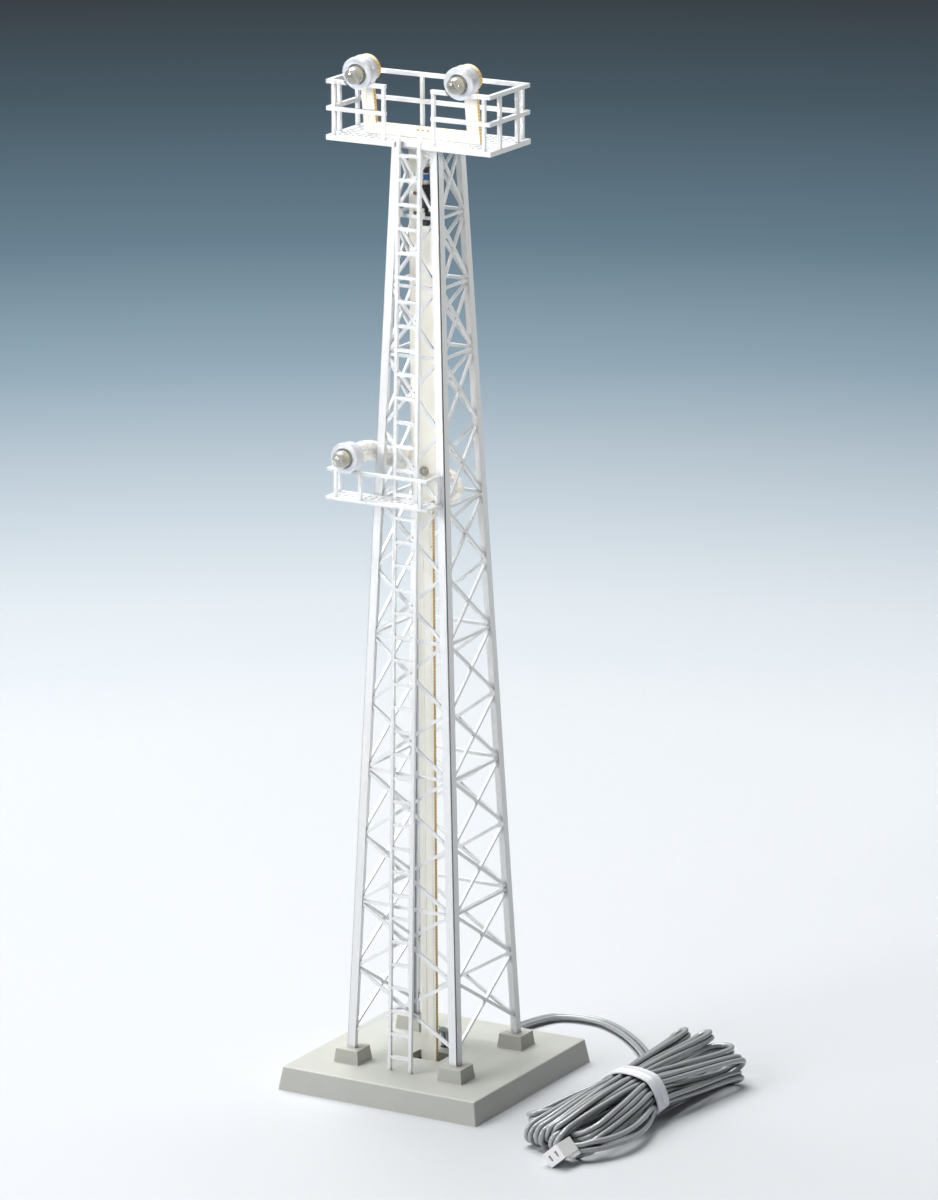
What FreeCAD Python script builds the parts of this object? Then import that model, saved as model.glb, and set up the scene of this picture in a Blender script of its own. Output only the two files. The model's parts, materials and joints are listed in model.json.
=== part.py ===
"""A model-railway yard floodlight tower, with its base, platforms, lamps, circuit board and cord.

Millimetres, +Z up, origin at the centre of the base's underside. The ladder side faces -Y.
"""
import FreeCAD, Part
import math
import os
import Sketcher
from types import SimpleNamespace
from FreeCAD import Placement, Rotation, Vector

DRIVING_SIZES = {
    # base
    "base_width": 40.0, "base_top_width": 38.6, "base_height": 4.2, "base_wall": 1.6, "base_roof": 1.4,
    "base_edge_round": 0.3,
    "footing_width": 4.95, "footing_top_width": 4.3, "footing_height": 2.5, "footing_centre": 10.4,
    "boss_centre": 15.8, "boss_radius": 1.7, "cover_thickness": 0.8, "ballast_thickness": 1.3,
    "screw_radius": 0.6, "screw_head_radius": 1.15, "screw_head_height": 0.4, "screw_length": 2.0,
    "board_slot_width": 6.4, "board_slot_front": 4.2, "board_slot_rear": 0.6, "board_slot_round": 0.9,
    "cord_hole_centre": 4.0, "cord_hole_radius": 1.1, "cord_channel_width": 2.4,
    # lattice tower
    "tower_foot": 6.7, "tower_top": 166.1, "tower_foot_half": 11.15, "tower_top_half": 4.57,
    "upper_bay": 12.0, "middle_bay": 12.75, "lower_bay": 11.88,
    "front_leg_width": 1.62, "side_leg_width": 1.75, "panel_thickness": 0.9,
    "front_brace_width": 0.55, "side_brace_width": 0.47, "brace_thickness": 0.46,
    "tenon_width": 0.85, "tenon_depth": 0.55, "tenon_length": 1.6, "tenon_inset": 0.8, "tenon_setback": 0.15,
    # platforms and railings
    "deck_thickness": 0.9, "deck_half_length": 16.1, "deck_half_depth": 6.75,
    "rail_bar": 0.72, "rail_post": 0.62, "mid_rail_bar": 0.58, "rail_height": 9.5, "mid_rail_height": 4.9,
    "rail_front_plane": 6.35, "rail_end_plane": 15.65,
    "rail_outer_post": 14.65, "rail_inner_post": 4.85, "rail_inner_end": 4.45, "end_post": 2.95,
    "mid_deck_top": 105.5, "mid_deck_thickness": 0.5, "mid_deck_left": 13.8, "mid_deck_right": 6.5,
    "mid_deck_front": 12.0, "mid_deck_rear": 7.16, "mid_rail_top": 5.0, "mid_rail_plane": 11.55,
    "mid_left_plane": 13.2, "mid_right_plane": 5.95, "mid_corner_post": 11.85, "mid_middle_post": 7.0,
    "mid_right_post": 4.8, "mid_left_end_post": 8.3, "mid_right_end_post": 7.9,
    "tongue_width": 1.6, "tongue_place": 3.2, "tongue_length": 1.5, "tongue_thickness": 0.4,
    # ladder
    "ladder_foot": 4.2, "ladder_foot_front": 11.75, "ladder_lean": 1.95, "ladder_length": 164.2,
    "ladder_spacing": 4.17, "stile_width": 0.6, "stile_depth": 0.6, "rung_height": 0.6, "rung_depth": 0.5,
    "rung_first": 2.45, "rung_pitch": 4.162, "ladder_socket": 0.8,
    "lug_height": 1.1, "upper_lug": 150.0, "upper_lug_reach": 1.07,
    "lower_lug": 53.0, "lower_lug_reach": 0.42,
    # circuit board
    "board_thickness": 0.8, "board_front": 2.0, "board_foot": 1.0, "strip_width": 3.0, "strip_top": 104.3,
    "wide_strip_width": 5.4, "cross_bar_height": 2.0, "cross_bar_half_length": 11.35, "arm_width": 2.45,
    "head_centre": 9.9, "head_rise": 11.5, "head_radius": 2.4, "head_lean": 7.8,
    # lamps
    "housing_radius": 2.83, "housing_step_radius": 2.7, "housing_groove_radius": 2.5,
    "housing_neck_radius": 2.3, "housing_length": 2.85, "housing_rim_length": 0.95,
    "housing_groove_width": 0.22, "housing_neck_length": 0.3,
    "housing_bore": 1.74, "housing_gap": 0.35, "mid_housing_trim": 0.2, "rail_clearance": 0.1,
    "led_radius": 1.5, "led_flange_radius": 1.85, "led_flange_length": 0.7, "led_length": 3.75,
    "lead_spacing": 1.6, "lead_width": 0.45, "lead_hole_radius": 0.36, "lead_tail": 0.5,
    "mid_lamp_x": 8.55, "mid_lamp_front": 14.4, "mid_lamp_height": 113.2,
    "sleeve_radius": 0.78, "sleeve_spread": 0.95,
    # parts on the board
    "resistor_x": 1.2, "resistor_low": 159.4, "resistor_length": 3.6, "resistor_radius": 0.62,
    "shrink_low": 152.4, "shrink_length": 5.2, "shrink_radius": 0.72,
    "component_lead": 0.22, "lead_rise": 1.6, "solder_radius": 0.78, "solder_height": 0.42,
    # cord, bundle and plug
    "core_radius": 0.38, "cord_rise": 8.2, "cord_floor": 0.9, "cord_reach": 37.6,
    "bundle_x": 42.0, "bundle_near": -26.2, "bundle_far": 27.0, "bundle_waist": -3.0,
    "bundle_waist_half": 5.6, "bundle_lobe_half": 8.6, "bundle_height": 8.6,
    "tie_width": 3.8, "tie_thickness": 0.5,
    "plug_width": 3.6, "plug_height": 2.7, "plug_length": 4.6, "plug_roll": 42.0, "plug_x": 41.8,
    "plug_front": -31.3, "plug_rise": 2.2, "plug_pitch": 1.5,
    "plug_slot_width": 0.42, "plug_slot_height": 1.1,
    "plug_wing": 0.75, "plug_wing_length": 2.4, "contact_inset": 0.9, "contact_length": 2.6,
}

doc = FreeCAD.newDocument("floodlight_tower")
sheet = doc.addObject("Spreadsheet::Sheet", "Sizes")
for row, (alias, amount) in enumerate(DRIVING_SIZES.items(), start=1):
    sheet.set(f"A{row}", alias)
    sheet.set(f"B{row}", str(amount))
    sheet.setAlias(f"B{row}", alias)
doc.recompute()


class Term:
    """A length from the sheet, held both as a number and as the expression that gives it."""

    def __init__(self, value, text):
        self.value = value
        self.text = text

    def __add__(self, other):
        return join(self, "+", other, self.value + number(other))

    def __radd__(self, other):
        return join(other, "+", self, number(other) + self.value)

    def __sub__(self, other):
        return join(self, "-", other, self.value - number(other))

    def __rsub__(self, other):
        return join(other, "-", self, number(other) - self.value)

    def __mul__(self, other):
        return join(self, "*", other, self.value * number(other))

    def __rmul__(self, other):
        return join(other, "*", self, number(other) * self.value)

    def __truediv__(self, other):
        return join(self, "/", other, self.value / number(other))

    def __neg__(self):
        return join(0, "-", self, -self.value)


def number(term):
    return term.value if isinstance(term, Term) else float(term)


def text(term):
    return term.text if isinstance(term, Term) else repr(float(term))


def join(left, sign, right, value):
    return Term(value, f"({text(left)} {sign} {text(right)})")


size = SimpleNamespace(**{name: Term(float(sheet.get(name)), f"Sizes.{name}") for name in DRIVING_SIZES})


def bind(target, path, term):
    target.setExpression(path, text(term))


def place(target, x, y, z, rotation=None):
    """Put an object at a bound position, turned by a fixed rotation."""
    if rotation is not None:
        target.Placement = Placement(Vector(0, 0, 0), rotation)
    bind(target, "Placement.Base.x", x)
    bind(target, "Placement.Base.y", y)
    bind(target, "Placement.Base.z", z)
    return target


# ---- Part primitives bound to the sheet ----

def box(name, x_span, y_span, z_span):
    """A block given by its low and high face along each axis."""
    block = doc.addObject("Part::Box", name)
    for side, (low, high) in zip(("Length", "Width", "Height"), (x_span, y_span, z_span)):
        bind(block, side, high - low)
    return place(block, x_span[0], y_span[0], z_span[0])


def cylinder(name, radius, length, x, y, z, rotation=None):
    rod = doc.addObject("Part::Cylinder", name)
    bind(rod, "Radius", radius)
    bind(rod, "Height", length)
    return place(rod, x, y, z, rotation)


def cone(name, low_radius, high_radius, length, x, y, z, rotation=None):
    drop = doc.addObject("Part::Cone", name)
    bind(drop, "Radius1", low_radius)
    bind(drop, "Radius2", high_radius)
    bind(drop, "Height", length)
    return place(drop, x, y, z, rotation)


def fuse(name, members):
    joined = doc.addObject("Part::MultiFuse", name)
    joined.Shapes = members
    return joined


def group(name, members):
    """Separate solids that share one node."""
    together = doc.addObject("Part::Compound", name)
    together.Links = members
    return together


def feature(name, shape):
    held = doc.addObject("Part::Feature", name)
    held.Shape = shape
    return held


# ---- PartDesign helpers ----

def new_body(name):
    return doc.addObject("PartDesign::Body", name)


def new_sketch(body, name, role, offset=0.0):
    """A sketch on one of the body's own origin planes, moved along that plane's normal."""
    sketch = body.newObject("Sketcher::SketchObject", name)
    plane = next(item for item in body.Origin.OriginFeatures if item.Role == role)
    sketch.AttachmentSupport = [(plane, "")]
    sketch.MapMode = "FlatFace"
    bind(sketch, "AttachmentOffset.Base.z", offset)
    return sketch


def outline(sketch, corners):
    """A closed outline of straight sides, each corner bound to its place in the sheet's terms."""
    first = sketch.GeometryCount
    points = [Vector(number(across), number(up), 0) for across, up in corners]
    for index, point in enumerate(points):
        sketch.addGeometry(Part.LineSegment(point, points[(index + 1) % len(points)]), False)
    for index, (across, up) in enumerate(corners):
        line = first + index
        following = first + (index + 1) % len(corners)
        sketch.addConstraint(Sketcher.Constraint("Coincident", line, 2, following, 1))
        for kind, term in (("DistanceX", across), ("DistanceY", up)):
            held = sketch.addConstraint(Sketcher.Constraint(kind, -1, 1, line, 1, number(term)))
            sketch.setExpression(f"Constraints[{held}]", text(term))


def rectangle(sketch, x_span, y_span):
    (left, right), (low, high) = x_span, y_span
    outline(sketch, [(left, low), (right, low), (right, high), (left, high)])


def circle(sketch, x, y, radius):
    ring = Part.Circle(Vector(number(x), number(y), 0), Vector(0, 0, 1), number(radius))
    held = sketch.addGeometry(ring, False)
    for kind, term in (("DistanceX", x), ("DistanceY", y)):
        index = sketch.addConstraint(Sketcher.Constraint(kind, -1, 1, held, 3, number(term)))
        sketch.setExpression(f"Constraints[{index}]", text(term))
    index = sketch.addConstraint(Sketcher.Constraint("Radius", held, number(radius)))
    sketch.setExpression(f"Constraints[{index}]", text(radius))


def pad(body, sketch, length, narrowing=None):
    """Add material along the sketch's normal; narrowing is the inward slope as run and rise."""
    grown = body.newObject("PartDesign::Pad", sketch.Name + "_pad")
    grown.Profile = sketch
    bind(grown, "Length", length)
    if narrowing is not None:
        run, rise = narrowing
        grown.setExpression("TaperAngle", f"-atan({text(run)} / {text(rise)})")
    sketch.Visibility = False
    return grown


def pocket(body, sketch, length, reverse=False):
    """Cut a pocket and make sure that it took material away."""
    doc.recompute()
    before = body.Shape.Volume
    taken = body.newObject("PartDesign::Pocket", sketch.Name + "_pocket")
    taken.Profile = sketch
    taken.Reversed = reverse
    bind(taken, "Length", length)
    doc.recompute()
    if body.Shape.Volume >= before:
        raise RuntimeError(f"{taken.Name} cuts nothing")
    return taken


def round_edges(body, base, radius, wanted):
    """Fillet every edge of the base feature that the test picks."""
    doc.recompute()
    names = [f"Edge{index}" for index, edge in enumerate(base.Shape.Edges, start=1) if wanted(edge)]
    rounded = body.newObject("PartDesign::Fillet", base.Name + "_round")
    rounded.Base = (base, names)
    bind(rounded, "Radius", radius)
    return rounded


def turned(name, corners):
    """A body turned about its own Z axis from a profile of (radius, height) corners."""
    body = new_body(name)
    profile = new_sketch(body, name + "_profile", "XZ_Plane")
    outline(profile, corners)
    spun = body.newObject("PartDesign::Revolution", name + "_spin")
    spun.Profile = profile
    spun.ReferenceAxis = (profile, ["V_Axis"])
    spun.Angle = 360.0
    return body


# ---- base ----

QUARTERS = [(-1, -1), (1, -1), (1, 1), (-1, 1)]
cavity_half = size.base_width / 2 - size.base_wall
cavity_top = size.base_height - size.base_roof
fit_gap = 0.05


def make_base_housing():
    body = new_body("base_housing")
    base = new_sketch(body, "base_square", "XY_Plane")
    rectangle(base, (-size.base_width / 2, size.base_width / 2), (-size.base_width / 2, size.base_width / 2))
    slab = pad(body, base, size.base_height,
               ((size.base_width - size.base_top_width) / 2, size.base_height))
    doc.recompute()
    round_edges(body, slab, size.base_edge_round,
                lambda edge: edge.BoundBox.ZMax > number(size.base_height) - 0.01)
    footings = new_sketch(body, "footings", "XY_Plane", size.base_height)
    reach = size.footing_width / 2
    for x_side, y_side in QUARTERS:
        centre_x = size.footing_centre * x_side
        centre_y = size.footing_centre * y_side
        rectangle(footings, (centre_x - reach, centre_x + reach), (centre_y - reach, centre_y + reach))
    pad(body, footings, size.footing_height,
        ((size.footing_width - size.footing_top_width) / 2, size.footing_height))
    cavity = new_sketch(body, "cavity", "XY_Plane")
    rectangle(cavity, (-cavity_half, cavity_half), (-cavity_half, cavity_half))
    pocket(body, cavity, cavity_top, reverse=True)
    bosses = new_sketch(body, "bosses", "XY_Plane", size.cover_thickness + fit_gap)
    for x_side, y_side in QUARTERS:
        circle(bosses, size.boss_centre * x_side, size.boss_centre * y_side, size.boss_radius)
    pad(body, bosses, size.base_height - size.cover_thickness - size.base_roof / 2)
    pilots = new_sketch(body, "pilot_holes", "XY_Plane")
    for x_side, y_side in QUARTERS:
        circle(pilots, size.boss_centre * x_side, size.boss_centre * y_side, size.screw_radius + fit_gap)
    pocket(body, pilots, size.cover_thickness + size.screw_length, reverse=True)
    slot = new_sketch(body, "board_slot", "XY_Plane", size.base_height)
    rectangle(slot, (-size.board_slot_width / 2, size.board_slot_width / 2),
              (-size.board_slot_front, size.board_slot_rear))
    opened = pocket(body, slot, size.base_roof * 1.5)
    inner_reach = number(size.board_slot_width) / 2 + 0.01

    def slot_corner(edge):
        bound = edge.BoundBox
        upright = bound.ZLength > 0.5 and bound.XLength < 0.01 and bound.YLength < 0.01
        return upright and abs(bound.XMax) < inner_reach and -5 < bound.YMin < 1
    round_edges(body, opened, size.board_slot_round, slot_corner)
    cord_hole = new_sketch(body, "cord_hole", "XY_Plane", size.base_height)
    circle(cord_hole, 0, size.cord_hole_centre, size.cord_hole_radius)
    pocket(body, cord_hole, size.base_roof * 1.5)
    sockets = new_sketch(body, "ladder_sockets", "XY_Plane", size.base_height)
    stile_reach = size.stile_width / 2 + fit_gap
    for side in (-1, 1):
        stile_x = size.ladder_spacing / 2 * side
        rectangle(sockets, (stile_x - stile_reach, stile_x + stile_reach),
                  (-size.ladder_foot_front - stile_reach, -size.ladder_foot_front + stile_reach))
    pocket(body, sockets, size.ladder_socket)
    tenons = new_sketch(body, "leg_sockets", "XY_Plane", size.base_height + size.footing_height)
    tenon_x = size.tower_foot_half - size.tenon_inset + fit_gap
    tenon_y = size.tower_foot_half - size.tenon_setback + fit_gap
    for x_side, y_side in QUARTERS:
        x_pair = sorted((tenon_x * x_side, (tenon_x - size.tenon_width - 2 * fit_gap) * x_side), key=number)
        y_pair = sorted((tenon_y * y_side, (tenon_y - size.tenon_depth - 2 * fit_gap) * y_side), key=number)
        rectangle(tenons, x_pair, y_pair)
    pocket(body, tenons, size.tenon_length + 0.2)
    outlet = new_sketch(body, "cord_outlet", "XZ_Plane", -size.base_width / 2 - 1)
    rectangle(outlet, (-size.cord_channel_width / 2, size.cord_channel_width / 2),
              (size.cover_thickness, cavity_top - 0.2))
    pocket(body, outlet, size.base_wall + 1.5, reverse=True)
    return body


def make_base_cover():
    body = new_body("base_cover")
    plate = new_sketch(body, "cover_plate", "XY_Plane")
    reach = cavity_half - fit_gap
    rectangle(plate, (-reach, reach), (-reach, reach))
    pad(body, plate, size.cover_thickness)
    for name, radius, depth in (("screw_clearance", size.screw_radius + 0.1, size.cover_thickness),
                                ("screw_seats", size.screw_head_radius + 0.1, size.screw_head_height)):
        holes = new_sketch(body, name, "XY_Plane")
        for x_side, y_side in QUARTERS:
            circle(holes, size.boss_centre * x_side, size.boss_centre * y_side, radius)
        pocket(body, holes, depth, reverse=True)
    return body


def make_ballast():
    body = new_body("ballast_weight")
    half = cavity_half - 0.4
    inner = size.boss_centre - size.boss_radius - 0.3
    channel = size.cord_channel_width / 2 + 0.1
    mouth = size.cord_hole_centre + 2
    plate = new_sketch(body, "ballast_plate", "XY_Plane", size.cover_thickness + fit_gap)
    outline(plate, [(-inner, -half), (inner, -half), (inner, -inner), (half, -inner), (half, inner),
                    (inner, inner), (inner, half), (channel, half), (channel, mouth), (4, mouth), (4, -5.4),
                    (-4, -5.4), (-4, mouth), (-channel, mouth), (-channel, half), (-inner, half),
                    (-inner, inner), (-half, inner), (-half, -inner), (-inner, -inner)])
    pad(body, plate, size.ballast_thickness)
    return body


def make_cover_screws():
    screws = []
    for index, (x_side, y_side) in enumerate(QUARTERS):
        x = size.boss_centre * x_side
        y = size.boss_centre * y_side
        head_height = size.screw_head_height
        head = cylinder(f"screw_head_{index}", size.screw_head_radius, head_height - fit_gap, x, y, 0.0)
        shank = cylinder(f"screw_shank_{index}", size.screw_radius, size.screw_length, x, y, head_height / 2)
        screws.append(fuse(f"screw_{index}", [head, shank]))
    return group("cover_screws", screws)


# ---- lattice tower ----

def node_heights():
    """Heights of the bracing nodes, from the platform down to the lowest one above the footings."""
    steps = [number(size.upper_bay)] * 3 + [number(size.middle_bay)] * 2 + [number(size.lower_bay)] * 8
    heights = [number(size.tower_top)]
    for step in steps:
        heights.append(heights[-1] - step)
    return heights


def tower_half(height):
    """Half the tower's outside width at a height."""
    foot, top = number(size.tower_foot), number(size.tower_top)
    low, high = number(size.tower_foot_half), number(size.tower_top_half)
    return low + (high - low) * (height - foot) / (top - foot)


BARRED_NODES = (1, 2, 3, 5, 7, 9, 11)
MITRE_GAP = 0.19
FAR = 30.0


def strip(start, end, width, depth_low, depth_high):
    """A straight bar in the XZ plane between two (x, z) points, between two depths along Y."""
    along = Vector(end[0] - start[0], 0, end[1] - start[1]).normalize()
    across = Vector(-along.z, 0, along.x) * (width / 2)
    first = Vector(start[0], depth_low, start[1])
    last = Vector(end[0], depth_low, end[1])
    face = Part.Face(Part.makePolygon([first - across, last - across, last + across, first + across,
                                       first - across]))
    return face.extrude(Vector(0, depth_high - depth_low, 0))


def lattice_panel(leg_width, brace, with_tenons):
    """One side of the tower, made flat at y = 0 with its inside towards +Y and then leaned inwards."""
    foot, top = number(size.tower_foot), number(size.tower_top)
    thickness = number(size.panel_thickness)
    brace_in = (thickness - number(size.brace_thickness)) / 2
    brace_span = (brace_in, thickness - brace_in)
    rise = top - foot
    run = number(size.tower_foot_half) - number(size.tower_top_half)
    stretch = math.hypot(rise, run) / rise
    nodes = [foot + (height - foot) * stretch for height in node_heights()]
    heights = node_heights()
    slant_top = foot + rise * stretch

    def inner(height):
        return tower_half(height) - leg_width / 2

    pieces = []
    for side in (-1, 1):
        corners = [(side * tower_half(foot), foot), (side * tower_half(top), slant_top),
                   (side * (tower_half(top) - leg_width), slant_top),
                   (side * (tower_half(foot) - leg_width), foot)]
        points = [Vector(x, 0, z) for x, z in corners]
        pieces.append(Part.Face(Part.makePolygon(points + points[:1])).extrude(Vector(0, thickness, 0)))
    for upper in range(len(nodes) - 1):
        lower = upper + 1
        for side in (-1, 1):
            pieces.append(strip((side * inner(heights[lower]), nodes[lower]),
                                (-side * inner(heights[upper]), nodes[upper]), brace, *brace_span))
    for node in BARRED_NODES:
        reach = inner(heights[node])
        pieces.append(strip((-reach, nodes[node]), (reach, nodes[node]), brace, *brace_span))
    reach = inner(top)
    pieces.append(strip((-reach, slant_top - brace / 2), (reach, slant_top - brace / 2), brace, *brace_span))
    panel = pieces[0].multiFuse(pieces[1:])
    above = Part.makeBox(2 * FAR, 2 * FAR, FAR, Vector(-FAR, -FAR, slant_top))
    panel = panel.cut(above).removeSplitter()
    panel.rotate(Vector(0, 0, foot), Vector(1, 0, 0), -math.degrees(math.atan2(run, rise)))
    panel.translate(Vector(0, -number(size.tower_foot_half), 0))
    quarter = [Vector(0, -MITRE_GAP, foot), Vector(-FAR, -FAR - MITRE_GAP, foot),
               Vector(FAR, -FAR - MITRE_GAP, foot)]
    wedge = Part.Face(Part.makePolygon(quarter + quarter[:1]))
    panel = panel.common(wedge.extrude(Vector(0, 0, top - foot - fit_gap / 2)))
    if with_tenons:
        panel = panel.fuse(leg_tenons()).removeSplitter()
    return panel


def leg_tenons():
    """The two pins under a panel's legs that stand in the footings."""
    outer = number(size.tower_foot_half)
    width, depth, length = number(size.tenon_width), number(size.tenon_depth), number(size.tenon_length)
    overlap = 0.4
    front = -outer + number(size.tenon_setback)
    pins = []
    for side in (-1, 1):
        centre = side * (outer - number(size.tenon_inset) - width / 2)
        low = Vector(centre - width / 2, front, number(size.tower_foot) - length)
        pins.append(Part.makeBox(width, depth, length + overlap, low))
    return Part.makeCompound(pins)


def make_lattices():
    front = lattice_panel(number(size.front_leg_width), number(size.front_brace_width), True)
    side = lattice_panel(number(size.side_leg_width), number(size.side_brace_width), False)
    panels = []
    for name, shape, turn in (("front_lattice", front, 0), ("right_lattice", side, 90),
                              ("rear_lattice", front, 180), ("left_lattice", side, 270)):
        panel = feature(name, shape)
        panel.Placement = Placement(Vector(0, 0, 0), Rotation(Vector(0, 0, 1), turn))
        panels.append(panel)
    return panels


# ---- platforms and railings ----

deck_top = size.tower_top + size.deck_thickness


def ladder_y(height):
    """The ladder's centre plane at a height."""
    lean = math.tan(math.radians(number(size.ladder_lean)))
    return -number(size.ladder_foot_front) + (height - number(size.ladder_foot)) * lean


def make_top_deck():
    body = new_body("top_deck")
    plate = new_sketch(body, "top_plate", "XY_Plane", size.tower_top)
    notch = size.ladder_spacing / 2 + size.stile_width / 2 + 0.25
    depth = size.deck_half_depth
    notch_rear = -(size.deck_half_depth - 1.3)
    outline(plate, [(-size.deck_half_length, -depth), (-notch, -depth), (-notch, notch_rear),
                    (notch, notch_rear), (notch, -depth), (size.deck_half_length, -depth),
                    (size.deck_half_length, depth), (-size.deck_half_length, depth)])
    pad(body, plate, size.deck_thickness)
    slot = new_sketch(body, "board_way", "XY_Plane", deck_top)
    play = 0.1
    reach = size.wide_strip_width / 2 + play
    rectangle(slot, (-reach, reach),
              (-size.board_front - play, -size.board_front + size.board_thickness + play))
    pocket(body, slot, size.deck_thickness)
    return body


def rail_frame(name, plane, rails, posts, base, across, along, bar=None):
    """A railing frame of square bars in one upright plane.

    rails are heights of bar centres above the base, posts are places along the frame, and across says
    whether the frame runs along X or along Y. A frame with its own bar size has posts of that size too.
    """
    half = (bar or size.rail_bar) / 2
    thin = (bar or size.rail_post) / 2
    low, high = along
    top = rails[-1]
    members = []
    spans = [((low, high), (base + rail - half, base + rail + half), half) for rail in rails]
    spans += [((post - thin, post + thin), (base, base + top), thin) for post in posts]
    for index, (length_span, height_span, deep) in enumerate(spans):
        depth_span = (plane - deep, plane + deep)
        if across:
            members.append(box(f"{name}_bar_{index}", length_span, depth_span, height_span))
        else:
            members.append(box(f"{name}_bar_{index}", depth_span, length_span, height_span))
    return fuse(name, members)


def cleared(name, blank, frame):
    """A front rail with a round notch for the lamp that hangs over it."""
    rod = cylinder(name + "_rod", size.housing_radius + size.rail_clearance, size.housing_length * 2,
                   0, 0, 0)
    notch = group(name + "_notch", [rod])
    notch.Placement = frame
    rail = doc.addObject("Part::Cut", name)
    rail.Base = blank
    rail.Tool = notch
    return rail


def make_railings():
    lamps = lamp_frames()
    rails = [size.mid_rail_height - size.rail_bar / 2, size.rail_height - size.rail_bar / 2]
    front = -size.rail_front_plane
    long_reach = size.rail_end_plane + size.rail_bar / 2
    end_reach = size.rail_front_plane - size.rail_bar / 2 - 0.03
    frames = [
        cleared("front_left_rail",
                rail_frame("left_rail_blank", front, rails, [-size.rail_outer_post, -size.rail_inner_post],
                           deck_top, True, (-long_reach, -size.rail_inner_end)), lamps["left"]),
        cleared("front_right_rail",
                rail_frame("right_rail_blank", front, rails, [size.rail_inner_post, size.rail_outer_post],
                           deck_top, True, (size.rail_inner_end, long_reach)), lamps["right"]),
        rail_frame("rear_rail", size.rail_front_plane, rails,
                   [-size.rail_outer_post, -size.rail_inner_post, size.rail_inner_post, size.rail_outer_post],
                   deck_top, True, (-long_reach, long_reach)),
        rail_frame("left_end_rail", -size.rail_end_plane, rails, [-size.end_post, size.end_post], deck_top,
                   False, (-end_reach, end_reach)),
        rail_frame("right_end_rail", size.rail_end_plane, rails, [-size.end_post, size.end_post], deck_top,
                   False, (-end_reach, end_reach)),
    ]
    mid_bar = size.mid_rail_bar
    mid_rails = [size.mid_rail_top - mid_bar / 2]
    mid_front = -size.mid_rail_plane
    mid_near = mid_front + mid_bar / 2 + 0.03
    mid_far = -size.mid_deck_rear - 0.12
    frames += [
        rail_frame("mid_front_rail", mid_front, mid_rails,
                   [-size.mid_corner_post, -size.mid_middle_post, size.mid_right_post],
                   size.mid_deck_top, True,
                   (-size.mid_left_plane - mid_bar / 2, size.mid_right_plane + mid_bar / 2), mid_bar),
        rail_frame("mid_left_rail", -size.mid_left_plane, mid_rails, [-size.mid_left_end_post],
                   size.mid_deck_top, False, (mid_near, mid_far), mid_bar),
        rail_frame("mid_right_rail", size.mid_right_plane, mid_rails, [-size.mid_right_end_post],
                   size.mid_deck_top, False, (mid_near, mid_far), mid_bar),
    ]
    return frames


def make_mid_deck():
    body = new_body("mid_deck")
    low = size.mid_deck_top - size.mid_deck_thickness
    plate = new_sketch(body, "mid_plate", "XY_Plane", low)
    rectangle(plate, (-size.mid_deck_left, size.mid_deck_right), (-size.mid_deck_front, -size.mid_deck_rear))
    pad(body, plate, size.mid_deck_thickness)
    way = new_sketch(body, "ladder_way", "XY_Plane", size.mid_deck_top)
    reach = size.ladder_spacing / 2 + size.stile_width / 2 + 0.2
    centre = ladder_y(number(low))
    rectangle(way, (-reach, reach), (centre - 0.6, centre + 0.62))
    pocket(body, way, size.mid_deck_thickness)
    tongues = new_sketch(body, "tongues", "XY_Plane", size.mid_deck_top - size.tongue_thickness)
    for side in (-1, 1):
        middle = size.tongue_place * side
        rectangle(tongues, (middle - size.tongue_width / 2, middle + size.tongue_width / 2),
                  (-size.mid_deck_rear - 0.3, -size.mid_deck_rear + size.tongue_length))
    pad(body, tongues, size.tongue_thickness)
    return body


# ---- ladder ----

def make_ladder():
    """Two stiles with a row of rungs, made upright and leaned back as one."""
    body = new_body("ladder")
    stiles = new_sketch(body, "stiles", "XY_Plane", -size.ladder_socket + 0.1)
    for side in (-1, 1):
        middle = size.ladder_spacing / 2 * side
        rectangle(stiles, (middle - size.stile_width / 2, middle + size.stile_width / 2),
                  (-size.stile_depth / 2, size.stile_depth / 2))
    rung_sketch = new_sketch(body, "rung", "XZ_Plane", -size.rung_depth / 2)
    reach = size.ladder_spacing / 2
    rectangle(rung_sketch, (-reach, reach), (size.rung_first - size.rung_height / 2,
                                             size.rung_first + size.rung_height / 2))
    rung = pad(body, rung_sketch, size.rung_depth)
    doc.recompute()
    pad(body, stiles, size.ladder_length + size.ladder_socket - 0.1)
    row = body.newObject("PartDesign::LinearPattern", "rungs")
    row.Originals = [rung]
    row.Direction = (rung_sketch, ["V_Axis"])
    count = int((number(size.ladder_length) - number(size.rung_first)) / number(size.rung_pitch)) + 1
    row.Occurrences = count
    bind(row, "Length", size.rung_pitch * (count - 1))
    body.Tip = row
    doc.recompute()
    for name, height, reach_back in (("upper_lugs", size.upper_lug, size.upper_lug_reach),
                                     ("lower_lugs", size.lower_lug, size.lower_lug_reach)):
        lugs = new_sketch(body, name, "XY_Plane", height)
        for side in (-1, 1):
            middle = size.ladder_spacing / 2 * side
            rectangle(lugs, (middle - size.stile_width / 2, middle + size.stile_width / 2),
                      (size.stile_depth / 4, size.stile_depth / 2 + reach_back))
        pad(body, lugs, size.lug_height)
    place(body, 0, -size.ladder_foot_front, size.ladder_foot,
          Rotation(Vector(1, 0, 0), -number(size.ladder_lean)))
    return body


# ---- circuit board ----

def lean_frame():
    """The tilted frame of the board's head: its origin at the deck, its Z axis up the arms."""
    middle = -number(size.board_front) + number(size.board_thickness) / 2
    return Placement(Vector(0, middle, number(deck_top)), Rotation(Vector(1, 0, 0), number(size.head_lean)))


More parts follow.
